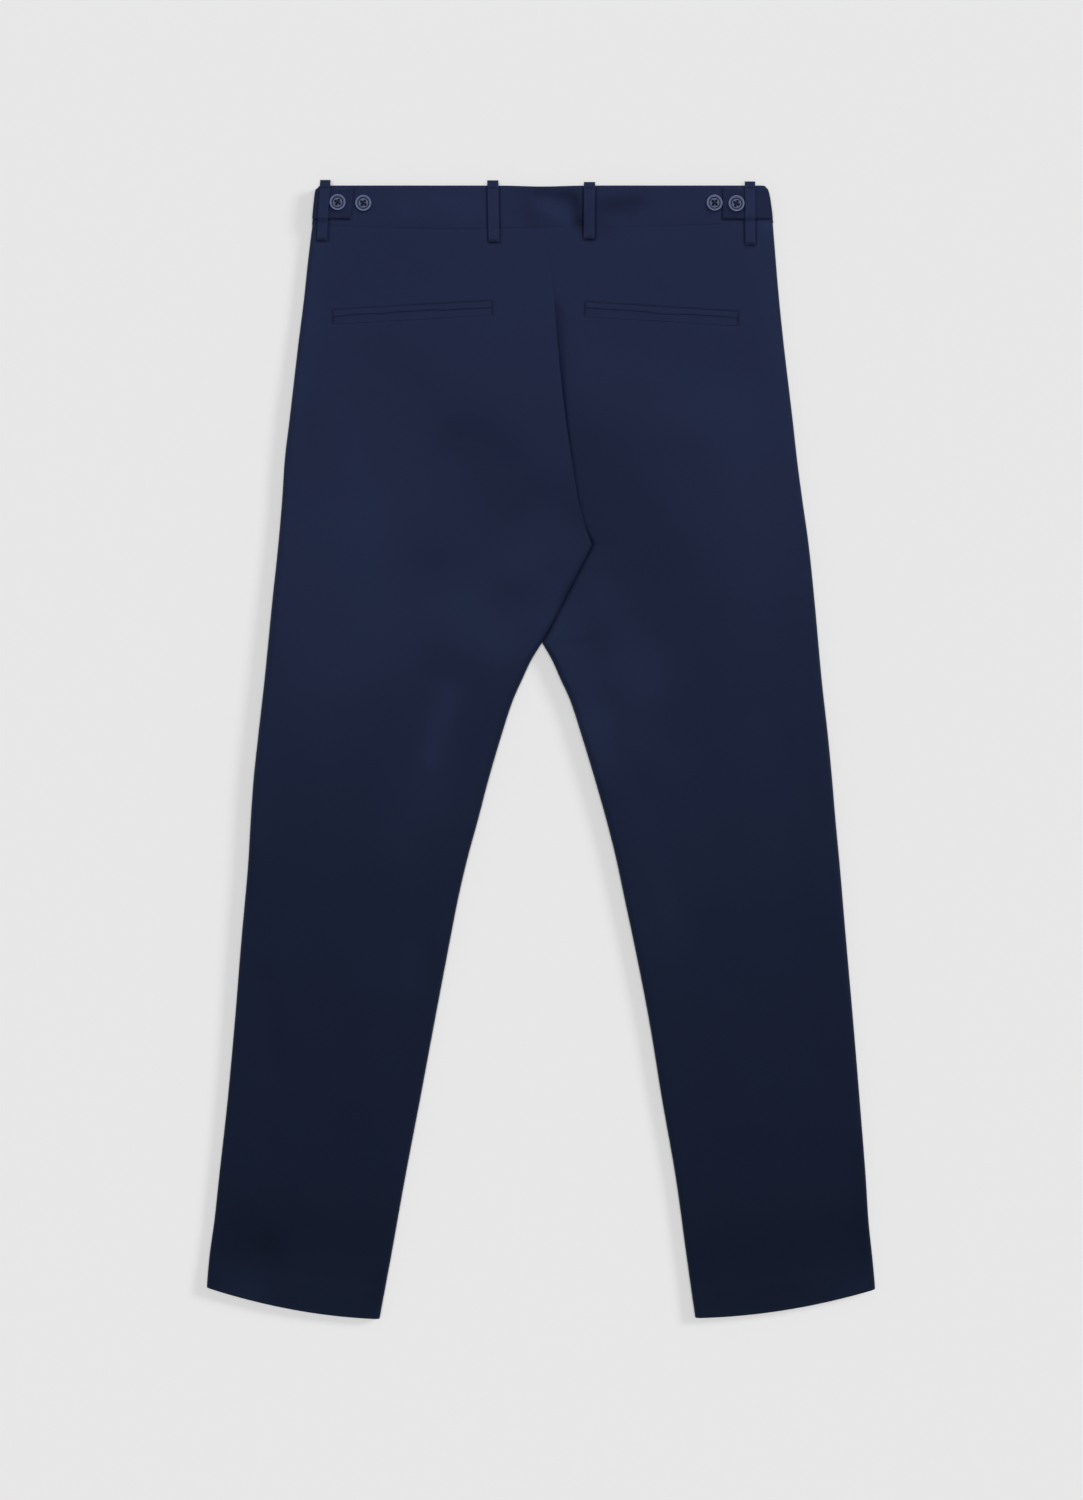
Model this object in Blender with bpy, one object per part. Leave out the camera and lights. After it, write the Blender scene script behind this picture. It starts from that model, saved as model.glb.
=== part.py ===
"""Chino trousers laid flat on their front, seat up: cloth walls, waistband, trims, buttons and zip.

The frame: +Y runs from the hems to the waist, +X to the wearer's right, +Z up from the surface
that the front panels rest on. The origin is under the middle of the garment. Tables and sizes
are in millimetres, and the meshes are made in metres.
"""

import math
from collections import namedtuple

import bmesh
import bpy
import numpy as np
from mathutils import Matrix, Vector
from mathutils.bvhtree import BVHTree

MM = 0.001

# Cloth and gaps
GAP = 0.3
CLOTH = 1.2
HEM_CLOTH = 2.0
BAND_CLOTH = 2.0
FRONT_BAND_CLOTH = 1.8
LOOP_CLOTH = 1.5
LOOP_EDGE_CLOTH = 1.0
LOOP_END_THINNED = 0.45
TAB_CLOTH = 1.8
TAB_EDGE_CLOTH = 1.3
JET_CLOTH = 1.0
REST = 0.4

# Waist and hems, measured down the middle of the back and along the side seams
BAND_TOP = 530.6
BAND_DIP = 0.9
BAND_DIP_WIDE = 24.0
SEAM_INNER_Y = 491.6
SEAM_OUTER_Y = {"left": 494.4, "right": 496.2}
SEAM_BOW = {"left": 3.2, "right": 1.2}
HEM_INNER_Y = {"left": -535.2, "right": -534.2}
HEM_OUTER_Y = {"left": -505.4, "right": -507.0}
HEM_BOW = 6.0
HEM_BAND_DEEP = 29.0
HEM_BAND_STEP = 1.0
HEM_RAISE = 0.35

# Heights of the laid cloth
BAND_HIGH = 9.8
BAND_RIM = 5.2
OUTER_FADE = 46.0
INNER_FADE = 42.0
RIM_SHARE = 0.58
FRONT_RIM = 7.0
FULL_EDGE_RISE = 6.0

# Fork and front seam
FORK_Y = 100.6
TIP_Y = 192.7
FRONT_SEAM_X = 0.94

# How the walls are divided
BACK_ANGLES = (0.0, 22.5, 45.0, 67.5, 90.0)
FRONT_ANGLES = (0.0, 32.0, 62.0, 90.0)
BACK_SHARES = (0.08, 0.2, 0.35, 0.5, 0.65, 0.8, 0.92)
FRONT_SHARES = (0.15, 0.38, 0.62, 0.85)
ROW_YS = (491.6, 460, 425, 388, 350, 312, 275, 238, 211, 192.7, 183, 171, 157, 141, 130, 121, 111, 100.6,
          92, 80, 65, 46, 24, -4, -38, -75, -120, -165, -212, -260, -308, -357, -405, -447, -480)


def table(columns, rows):
    """Give each row of numbers its column names."""
    row_type = namedtuple("Row", columns)
    return [row_type(*row) for row in rows]


# The garment's outline: the side seams from waist to hem
SIDES = table("y left right", [
    (492, -215.4, 218.5),
    (459, -219.4, 221.1),
    (423, -223.2, 224.2),
    (385, -228.0, 228.1),
    (310, -236.7, 236.9),
    (273, -241.1, 241.0),
    (235, -243.6, 246.0),
    (193, -247.2, 251.9),
    (141, -252.7, 257.3),
    (66, -260.1, 264.1),
    (9, -266.5, 270.4),
    (-28, -270.4, 273.9),
    (-66, -273.1, 277.1),
    (-103, -275.2, 280.6),
    (-179, -281.9, 287.1),
    (-254, -288.0, 293.7),
    (-329, -294.9, 299.9),
    (-404, -303.2, 305.8),
    (-442, -307.3, 308.2),
    (-479, -312.3, 312.0),
    (-507, -314.5, 314.4),
    (-540, -316.4, 316.2),
])

# The back seam, which drifts to the right and ends in a tip that is folded over the right leg
BACK_SEAM = table("y x", [
    (492, 2.0),
    (455, 8.0),
    (418, 13.0),
    (385, 15.4),
    (357, 18.0),
    (310, 23.5),
    (273, 29.0),
    (235, 35.0),
    (211, 41.0),
    (TIP_Y, 47.9),
])

# From the tip down to the fork the left leg's edge lies on the right leg
FOLDED_EDGE = table("y x", [
    (TIP_Y, 47.9),
    (141, 21.7),
    (FORK_Y, 0.9),
    (84.6, -9.2),
    (65.8, -17.9),
])

# The inside leg seams from the fork to the hems
INSEAMS = table("y left right", [
    (FORK_Y, 0.7, 1.2),
    (84.6, -9.2, 10.5),
    (65.8, -17.9, 18.8),
    (47, -26.3, 27.4),
    (9, -38.6, 39.7),
    (-28, -49.4, 50.9),
    (-66, -59.3, 61.6),
    (-103, -69.4, 70.9),
    (-141, -78.2, 78.9),
    (-179, -85.6, 87.0),
    (-254, -99.8, 101.7),
    (-329, -113.8, 114.0),
    (-404, -128.1, 127.1),
    (-479, -141.5, 137.4),
    (-516, -148.4, 142.6),
    (-540, -152.8, 146.2),
])

# Heights of the top cloth: at the side seam's bead, in the middle, and at the bead or ridge
# along the back seam and inside leg
HEIGHTS = table("y outer middle left_ridge right_ridge", [
    (492, 9.4, 9.3, 9.3, 9.3),
    (423, 10.0, 9.5, 9.8, 9.6),
    (385, 10.4, 9.6, 10.1, 9.8),
    (310, 10.9, 9.8, 10.4, 10.1),
    (235, 11.3, 10.0, 10.7, 10.4),
    (193, 11.6, 10.2, 11.0, 10.3),
    (171, 11.8, 10.3, 11.6, 10.3),
    (141, 12.2, 10.3, 12.2, 10.2),
    (121, 12.5, 10.2, 12.2, 10.5),
    (FORK_Y, 12.7, 10.1, 11.8, 11.4),
    (65, 13.0, 9.9, 11.8, 11.8),
    (0, 13.3, 9.7, 11.8, 11.8),
    (-100, 12.6, 9.3, 11.3, 11.3),
    (-235, 11.0, 8.9, 10.2, 10.2),
    (-329, 10.0, 8.7, 9.5, 9.5),
    (-423, 9.3, 8.5, 9.0, 9.0),
    (-505, 8.8, 8.5, 8.7, 8.7),
    (-540, 8.6, 8.4, 8.5, 8.5),
])

# How the two backs meet above the fork: the top's height at the edge, how wide the edge rolls
# down, how round the roll is (1 a shallow valley, 2 an ellipse), and how far the right is tucked
EDGES = table("y left_edge left_rim left_round right_edge right_rim right_round tuck front_edge", [
    (492, 9.2, 20.0, 1.0, 9.2, 30.0, 1.0, -0.3, 0.0),
    (423, 9.6, 10.0, 1.1, 8.6, 26.0, 1.0, -0.3, 0.0),
    (385, 9.8, 8.0, 1.3, 7.8, 22.0, 1.0, -0.3, 0.0),
    (310, 9.9, 7.0, 1.5, 7.6, 24.0, 1.0, -0.3, 0.0),
    (235, 9.9, 7.0, 1.6, 7.6, 34.0, 1.0, -0.3, 0.0),
    (TIP_Y, 9.7, 7.5, 1.7, 7.2, 44.0, 1.0, -0.3, 0.0),
    (183, 9.5, 8.0, 1.8, 7.0, 50.0, 1.0, 3.0, 0.0),
    (171, 9.4, 8.2, 2.0, 7.0, 52.0, 1.0, 7.0, 0.0),
    (141, 9.4, 8.2, 2.0, 7.1, 44.0, 1.0, 8.0, 0.0),
    (130, 9.3, 8.0, 2.0, 7.1, 34.0, 1.1, 8.0, 0.9),
    (121, 9.2, 7.8, 2.0, 6.9, 24.0, 1.3, 4.0, 2.2),
    (111, 8.2, 7.2, 2.0, 6.6, 14.0, 1.7, -0.4, 4.0),
    (FORK_Y, 6.1, 6.9, 2.0, 5.9, 6.6, 2.0, -0.4, 5.55),
])

# Soft folds of the top cloth, each along a line from a to b
FOLDS = table("ax ay bx by wide high", [
    (-148, 356, -40, 275, 24, -1.5),
    (-60, 290, 22, 215, 20, -1.3),
    (-204, 318, -180, 215, 34, 1.6),
    (-110, 205, -45, 160, 30, 1.0),
    (60, 385, 175, 350, 26, -0.7),
    (150, 300, 200, 205, 32, 0.9),
    (70, 62, 92, -5, 20, 1.5),
    (128, -28, 158, -140, 24, 1.5),
    (-130, 40, -104, -60, 26, 1.0),
    (-190, 20, -170, -150, 26, -1.0),
    (200, 30, 214, -170, 26, -0.9),
    (-262, -215, -252, -300, 12, -1.1),
    (-160, -230, -172, -330, 20, 0.9),
    (176, -250, 190, -350, 20, 0.8),
    (-276, -440, -262, -468, 13, -0.9),
    (-12, 521, 44, 490, 11, -1.5),
    (54, 503, 92, 506, 12, -1.1),
])

# The waistband's ends, by depth under its top edge
BAND_DEEP = BAND_TOP - SEAM_INNER_Y
BAND_SIDES = table("y left right", [
    (0.0, -208.6, 211.0),
    (-1.4, -210.0, 212.0),
    (-4.5, -211.8, 213.4),
    (-12.0, -212.9, 215.2),
    (-39.5, -215.6, 218.7),
])
BAND_DEPTHS = (0.0, 1.4, 8.0, 20.0, 32.0)
BAND_EDGE_CLOTH = 0.9
BAND_EDGE_DROP = 0.7
BAND_XS = (-185, -150, -115, -80, -55, -34, -18, -6, 6, 18, 30, 42, 54, 66, 80, 100, 125, 155, 185)

# The waistband's front ends: the left end laps over the outside of the right end
LAP_LEFT_END = 20.0
LAP_RIGHT_END = -16.0
LAP_RAMP = (24.0, 40.0)
LAP_STEPS = (1.0, 0.75, 0.5, 0.25, 0.0)
LAP_LIFT = 3.9
FRONT_BAND_XS = (170.0, 62.0, 20.0)
FRONT_BAND_DEPTHS = (0.0, 1.4, 14.0, BAND_DEEP)
FRONT_BAND_EDGE_RISE = 0.35
FRONT_LOOP_X = 105.0
FRONT_LOOP_WIDE = 10.4
FRONT_LOOP_UNDER = 0.6
FRONT_LOOP_PAST_SEAM = 1.0
FRONT_LOOP_CLOTH = 1.0
FRONT_LOOP_EDGE_CLOTH = 0.6
FRONT_LOOP_LIFT = 1.3
FRONT_LOOP_RAMP = (6.2, 20.0)

# Belt loops on the back: centre at the top and bottom ends
BELT_LOOPS = table("name top_x top_y low_x low_y wide over_tab", [
    ("belt_loop_left", -202.4, 535.2, -206.0, 478.5, 9.8, True),
    ("belt_loop_back_left", -45.3, 535.2, -44.2, 477.2, 10.6, False),
    ("belt_loop_back_right", 45.6, 533.6, 45.2, 480.3, 10.6, False),
    ("belt_loop_right", 196.2, 533.8, 196.7, 474.4, 9.8, True),
])
LOOP_BOW = 0.8
LOOP_BEVEL = 0.8
LOOP_OVER_EDGE = 1.5
LOOP_PAST_TAB = 0.7
LOOP_BAND_YS = (520.0, 505.0)
LOOP_SEAM_OFFS = (1.0, -1.6, -4.5)
LOOP_END_DEEP = 1.2

# Adjuster tabs: their free end, their long edges, and how far the free end stands off
TABS = table("name side end_top end_low top_y low_y stand_off", [
    ("adjuster_tab_left", "left", -176.4, -179.0, 527.6, 499.2, 0.3),
    ("adjuster_tab_right", "right", 170.9, 170.9, 527.9, 499.0, 0.9),
])
TAB_ANGLES = (45.0, 56.0, 67.5, 79.0, 90.0)
TAB_STEPS = (0.0, 0.04, 0.5, 0.96, 1.0)
TAB_SHARES = (0.08, 0.25, 0.5, 0.75, 0.96, 1.0)
TAB_SIDE_LIFT = 0.5

# Buttons, 24 ligne
BUTTON_RADIUS = 7.5
BUTTON_THICK = 2.5
BUTTON_HOLE_RADIUS = 0.9
BUTTON_HOLE_OFFSET = 1.45
BUTTON_SIDES = 24
BUTTON_FOOT = 0.7
BUTTON_TURN = 8.0
BUTTONS = table("name x y on_tab tilt", [
    ("adjuster_button_left_outer", -190.9, 514.2, True, 0.0),
    ("adjuster_button_left_inner", -166.9, 513.8, False, 0.0),
    ("adjuster_button_right_inner", 162.9, 513.9, False, 5.0),
    ("adjuster_button_right_outer", 183.4, 512.9, True, 3.0),
])
BUTTON_PROFILE = table("radius high", [
    (0.0, 0.0),
    (0.80, 0.0),
    (0.96, 0.22),
    (1.0, 0.55),
    (0.97, 0.86),
    (0.87, 1.0),
    (0.74, 0.90),
    (0.62, 0.58),
    (0.0, 0.52),
])

# Back pockets: the two ends of the mouth
POCKETS = table("name outer_x outer_y inner_x inner_y", [
    ("pocket_left", -195.0, 406.8, -46.6, 415.4),
    ("pocket_right", 184.7, 405.2, 41.9, 414.2),
])
JET_DEEP = 6.4
JET_STEPS = 10
JET_PROFILE = table("share cloth", [
    (0.0, JET_CLOTH),
    (0.15, JET_CLOTH + 0.2),
    (0.55, JET_CLOTH),
    (0.9, JET_CLOTH - 0.2),
    (1.0, JET_CLOTH - 0.4),
])
MOUTH_GAP = 0.5

# Fly zip and the waistband's hook and bar
ZIP_TOP_Y = 488.0
ZIP_LONG = 165.0
ZIP_TAPE_WIDE = 12.0
ZIP_CHAIN_WIDE = 2.4
ZIP_CHAIN_SIDE = 0.3
ZIP_TAPE_CLOTH = 0.6
ZIP_CHAIN_HIGH = 1.6
SLIDER = (6.0, 9.0, 1.5)
SLIDER_BEVEL = 1.5
SLIDER_DOWN = 8.0
PULL = (4.0, 18.0, 0.8)
PULL_BEVEL = 1.4
PULL_DOWN = 11.0
HOOK_PLATE = (12.0, 10.0, 0.6)
BAR_PLATE = (12.0, 6.0, 0.6)
PLATE_BEVEL = 1.5
HOOK_X = 2.0
HOOK_Y = 511.0

# Colours, roughness and metallic value of each finish
FINISHES = {
    "twill": ((0.016, 0.023, 0.058, 1.0), 0.85, 0.0),
    "button": ((0.20, 0.20, 0.28, 1.0), 0.35, 0.0),
    "tape": ((0.012, 0.017, 0.042, 1.0), 0.8, 0.0),
    "metal": ((0.45, 0.44, 0.42, 1.0), 0.35, 1.0),
}


def clear_scene():
    """Remove every object that the file starts with."""
    for thing in list(bpy.data.objects):
        bpy.data.objects.remove(thing, do_unlink=True)


def finish(name):
    """Find or make one of the finishes."""
    found = bpy.data.materials.get(name)
    if found:
        return found
    colour, roughness, metallic = FINISHES[name]
    material = bpy.data.materials.new(name)
    material.use_nodes = True
    shader = material.node_tree.nodes["Principled BSDF"]
    shader.inputs["Base Color"].default_value = colour
    shader.inputs["Roughness"].default_value = roughness
    shader.inputs["Metallic"].default_value = metallic
    material.diffuse_color = colour
    return material


def add_object(name, mesh, material):
    """Put a mesh in the scene under its node's name."""
    mesh.materials.append(finish(material))
    thing = bpy.data.objects.new(name, mesh)
    bpy.context.collection.objects.link(thing)
    return thing


def line(rows, column):
    """Make a smooth line through one column of a table against its falling y, with no overshoot."""
    ys = [row.y for row in rows]
    values = [getattr(row, column) for row in rows]
    steps = [(values[i + 1] - values[i]) / (ys[i + 1] - ys[i]) for i in range(len(ys) - 1)]
    slopes = [steps[0]]
    for before, after in zip(steps, steps[1:]):
        turns = before * after <= 0.0
        slopes.append(0.0 if turns else 2.0 * before * after / (before + after))
    slopes.append(steps[-1])

    def at(y):
        if y >= ys[0]:
            return values[0] + slopes[0] * (y - ys[0])
        if y <= ys[-1]:
            return values[-1] + slopes[-1] * (y - ys[-1])
        i = next(k for k in range(len(ys) - 1) if y >= ys[k + 1])
        span = ys[i + 1] - ys[i]
        t = (y - ys[i]) / span
        start = values[i] * (1 + 2 * t) * (1 - t) ** 2 + slopes[i] * span * t * (1 - t) ** 2
        end = values[i + 1] * t * t * (3 - 2 * t) + slopes[i + 1] * span * t * t * (t - 1)
        return start + end

    return at


def fade(t):
    """Fall smoothly from 1 at t = 0 to 0 at t = 1."""
    return 0.5 + 0.5 * math.cos(math.pi * min(max(t, 0.0), 1.0))


def roll(t, roundness):
    """Rise from 0 at an edge to 1 where its roll ends, as a valley's side or as an ellipse."""
    t = min(max(t, 0.0), 1.0)
    return (1.0 - (1.0 - t) ** 2) ** (1.0 / roundness)


def fold_height(x, y):
    """Add up the soft folds at one place: each is a bell across its line that dies out at its ends."""
    total = 0.0
    for fold in FOLDS:
        along_x = fold.bx - fold.ax
        along_y = fold.by - fold.ay
        square = along_x ** 2 + along_y ** 2
        share = ((x - fold.ax) * along_x + (y - fold.ay) * along_y) / square
        share = min(max(share, 0.0), 1.0)
        off = math.hypot(x - fold.ax - share * along_x, y - fold.ay - share * along_y)
        total += fold.high * math.exp(-(off / fold.wide) ** 2)
    return total


class Side:
    """The smooth lines that describe the garment's left or right half."""

    def __init__(self, name):
        self.name = name
        self.inward = 1.0 if name == "left" else -1.0
        self.outer_x = line(SIDES, name)
        self.seam_x = line(BACK_SEAM, "x")
        self.folded_x = line(FOLDED_EDGE, "x")
        self.leg_x = line(INSEAMS, name)
        self.outer_high = line(HEIGHTS, "outer")
        self.middle_high = line(HEIGHTS, "middle")
        self.ridge_high = line(HEIGHTS, name + "_ridge")
        self.edge_high = line(EDGES, name + "_edge")
        self.edge_rim = line(EDGES, name + "_rim")
        self.edge_round = line(EDGES, name + "_round")
        self.tuck = line(EDGES, "tuck")
        self.front_edge = line(EDGES, "front_edge")

    def back_x(self, y):
        """Where the back panel's inner edge is: back seam, folded edge, then inside leg."""
        if y < FORK_Y:
            return self.leg_x(y)
        middle = self.seam_x(y) if y >= TIP_Y else self.folded_x(y)
        if self.name == "left":
            return middle - GAP / 2
        return middle - GAP / 2 - self.tuck(y)

    def front_x(self, y):
        """Where the front panel's inner edge is: front seam, then inside leg."""
        if y < FORK_Y:
            return self.leg_x(y)
        return FRONT_SEAM_X - self.inward * GAP / 2

    def back_edge(self, y):
        """Height, width and roundness of the roll at the back panel's inner edge."""
        if y < FORK_Y:
            high = self.ridge_high(y)
            return high / 2 + GAP / 2, high * RIM_SHARE, 2.0
        return self.edge_high(y), self.edge_rim(y), self.edge_round(y)

    def row_y(self, drop, share, back):
        """Bend a row across the panel: it follows the waist seam above and the hem below."""
        outer = SEAM_OUTER_Y[self.name] + drop * (HEM_OUTER_Y[self.name] - SEAM_OUTER_Y[self.name])
        inner = SEAM_INNER_Y + drop * (HEM_INNER_Y[self.name] - SEAM_INNER_Y)
        seam_bow = SEAM_BOW[self.name] if back else 0.0
        bow = seam_bow * (1 - drop) ** 6 + HEM_BOW * drop ** 6
        return outer + (inner - outer) * share - bow * 4 * share * (1 - share)

    def back_high(self, x, y):
        """Height of the back panel's outer face."""
        inner_x = self.back_x(y)
        from_outer = self.inward * (x - self.outer_x(y))
        from_inner = self.inward * (inner_x - x)
        outer = self.outer_high(y)
        middle = self.middle_high(y)
        ridge = self.ridge_high(y)
        edge, rim, roundness = self.back_edge(y)
        outer_rim = outer * RIM_SHARE
        high = middle + fold_height(x, y)
        high += (outer - middle) * fade((from_outer - outer_rim) / OUTER_FADE)
        high += (ridge - middle) * fade((from_inner - rim) / INNER_FADE)
        seam = outer / 2 + GAP / 2
        high = seam + (high - seam) * roll(from_outer / outer_rim, 2.0)
        return edge + (high - edge) * roll(from_inner / rim, roundness)

    def front_high(self, x, y):
        """Height of the front panel's outer face, which is its underside."""
        from_outer = self.inward * (x - self.outer_x(y))
        from_inner = self.inward * (self.front_x(y) - x)
        outer = self.outer_high(y)
        seam = outer / 2 - GAP / 2
        inner = self.front_edge(y) if y >= FORK_Y else self.ridge_high(y) / 2 - GAP / 2
        rise = seam * (1 - roll(from_outer / (outer * RIM_SHARE), 2.0))
        return rise + inner * (1 - roll(from_inner / FRONT_RIM, 2.0))

    def column_x(self, kind, value, y, back):
        """Place one column of a wall: on the outer roll, between the rolls, or on the inner roll."""
        outer = self.outer_x(y)
        inner = self.back_x(y) if back else self.front_x(y)
        outer_rim = self.inward * self.outer_high(y) * RIM_SHARE
        inner_rim = self.inward * (self.back_edge(y)[1] if back else FRONT_RIM)
        if kind == "outer":
            return outer + outer_rim * (1 - math.cos(math.radians(value)))
        if kind == "inner":
            return inner - inner_rim * (1 - math.cos(math.radians(value)))
        start = outer + outer_rim
        return start + (inner - inner_rim - start) * value

    def point(self, drop, kind, value, back):
        """Work out one point of a wall's outer face."""
        y = self.row_y(drop, 0.5, back)
        for _ in range(3):
            x = self.column_x(kind, value, y, back)
            inner = self.back_x(y) if back else self.front_x(y)
            outer = self.outer_x(y)
            y = self.row_y(drop, (x - outer) / (inner - outer), back)
        x = self.column_x(kind, value, y, back)
        high = self.back_high(x, y) if back else self.front_high(x, y)
        return x, y, high


def columns(angles, shares):
    """List a wall's columns from its outer edge to its inner edge."""
    outer = [("outer", angle) for angle in angles]
    middle = [("middle", share) for share in shares]
    inner = [("inner", angle) for angle in reversed(angles)]
    return outer + middle + inner


def outward(grid, up):
    """Work out the unit normals of a grid of points, on the side given by up."""
    down_rows = np.gradient(grid, axis=0)
    along_columns = np.gradient(grid, axis=1)
    normals = np.cross(down_rows, along_columns)
    normals /= np.linalg.norm(normals, axis=2, keepdims=True)
    flip = np.sign(normals[:, normals.shape[1] // 2, 2]) * up
    return normals * flip[:, None, None]


def closed_wall(name, outside, inside, material):
    """Join an outer and an inner grid of points, in millimetres, into one closed wall."""
    rows, across = outside.shape[:2]
    count = rows * across
    corners = np.concatenate([outside.reshape(-1, 3), inside.reshape(-1, 3)]) * MM

    def quads(shift):
        return [[shift + r * across + c, shift + r * across + c + 1,
                 shift + (r + 1) * across + c + 1, shift + (r + 1) * across + c]
                for r in range(rows - 1) for c in range(across - 1)]

    border = [c for c in range(across)]
    border += [r * across + across - 1 for r in range(1, rows)]
    border += [(rows - 1) * across + c for c in range(across - 2, -1, -1)]
    border += [r * across for r in range(rows - 2, 0, -1)]
    rim = [[a, b, b + count, a + count] for a, b in zip(border, border[1:] + border[:1])]
    faces = quads(0) + quads(count) + rim
    mesh = bpy.data.meshes.new(name)
    mesh.from_pydata([tuple(corner) for corner in corners], [], faces)
    shape = bmesh.new()
    shape.from_mesh(mesh)
    bmesh.ops.recalc_face_normals(shape, faces=shape.faces)
    shape.to_mesh(mesh)
    shape.free()
    mesh.shade_smooth()
    mesh.set_sharp_from_angle(angle=math.radians(50))
    return add_object(name, mesh, material)


def panel(side, back):
    """Make one leg's back or front, with the hem turned up inside as a thicker band."""
    shape = columns(BACK_ANGLES, BACK_SHARES) if back else columns(FRONT_ANGLES, FRONT_SHARES)
    long = SEAM_INNER_Y - HEM_INNER_Y[side.name]
    band_start = 1 - HEM_BAND_DEEP / long
    drops = [(SEAM_INNER_Y - y) / (SEAM_INNER_Y - HEM_INNER_Y["left"]) for y in ROW_YS]
    drops += [band_start - HEM_BAND_STEP / long, band_start, 1.0]
    up = 1.0 if back else -1.0
    grid = np.array([[side.point(drop, kind, value, back) for kind, value in shape] for drop in drops])
    normals = outward(grid, up)
    normals[:, 0] = (-side.inward, 0.0, 0.0)
    for row in range(len(drops)):
        y = grid[row, -1, 1]
        roundness = side.back_edge(y)[2] if back else 1.0 + min(side.front_edge(y) / FULL_EDGE_RISE, 1.0)
        if y < FORK_Y:
            roundness = 2.0
        lean = math.radians(90.0 * (roundness - 1.0))
        normals[row, -1] = (side.inward * math.sin(lean), 0.0, up * math.cos(lean))
    normals[0, :, 1] = 0.0
    normals[-1, :, 1] = 0.0
    normals /= np.linalg.norm(normals, axis=2, keepdims=True)
    cloth = np.array([HEM_CLOTH if drop >= band_start else CLOTH for drop in drops])
    if back:
        middle_columns = slice(len(BACK_ANGLES) - 1, -len(BACK_ANGLES) + 1)
        grid[-2:, middle_columns, 2] += HEM_RAISE
    grid[0, :, 1] -= GAP / 2
    inside = grid - normals * cloth[:, None, None]
    name = ("back_" if back else "front_") + side.name
    return closed_wall(name, grid, inside, "twill")


def band_top(x):
    """Y of the waistband's top edge, which sags a little in the middle of the back."""
    return BAND_TOP - BAND_DIP * math.exp(-((x - 2.0) / BAND_DIP_WIDE) ** 2)


def band_ends(y_down):
    """X of the waistband's left and right ends, at a depth under its top edge."""
    return line(BAND_SIDES, "left")(-y_down), line(BAND_SIDES, "right")(-y_down)


def seam_y(x, sides, back):
    """Y of the seam under the waistband, shared with the panels' top edges."""
    side = sides[0] if x < 0 else sides[1]
    outer = side.outer_x(SEAM_OUTER_Y[side.name])
    return side.row_y(0.0, min(max(1 - x / outer, 0.0), 1.0), back)


def band_depth_y(x, depth, sides, back):
    """Y at a depth under the waistband's top edge, stretched so that the last row meets the seam."""
    top = band_top(x)
    low = seam_y(x, sides, back) + GAP / 2
    return top + (low - top) * depth / BAND_DEEP


def waistband_back(sides):
    """Make the back of the waistband, with its folded top edge and its side rolls."""
    depths = BAND_DEPTHS + (BAND_DEEP,)
    rims = [BAND_RIM * (1 - math.cos(math.radians(angle))) for angle in BACK_ANGLES]
    seam = BAND_HIGH / 2 + GAP / 2
    rows = []
    for depth in depths:
        ends = band_ends(depth)
        xs = [ends[0] + rim for rim in rims] + list(BAND_XS) + [ends[1] - rim for rim in reversed(rims)]
        row = []
        for x in xs:
            y = band_depth_y(x, depth, sides, True)
            share = roll(min(x - ends[0], ends[1] - x) / BAND_RIM, 2.0)
            drop = BAND_EDGE_DROP * share if depth == 0.0 else 0.0
            row.append((x, y, seam + (BAND_HIGH + fold_height(x, y) - drop - seam) * share))
        rows.append(row)
    grid = np.array(rows)
    normals = outward(grid, 1.0)
    normals[:, :, 1] = 0.0
    normals[:, 0] = (-1.0, 0.0, 0.0)
    normals[:, -1] = (1.0, 0.0, 0.0)
    normals /= np.linalg.norm(normals, axis=2, keepdims=True)
    cloth = np.array([BAND_EDGE_CLOTH] + [BAND_CLOTH] * (len(depths) - 1))
    inside = grid - normals * cloth[:, None, None]
    return closed_wall("waistband_back", grid, inside, "twill")


def front_lift(x, side_name):
    """Lift of a front waistband end: over the belt loop and, on the right, over the left end."""
    near, far = FRONT_LOOP_RAMP
    off = abs(abs(x) - FRONT_LOOP_X)
    lift = FRONT_LOOP_LIFT * fade((off - near) / (far - near))
    if side_name == "right":
        low, high = LAP_RAMP
        lift += LAP_LIFT * fade((x - low) / (high - low))
    return lift


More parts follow.
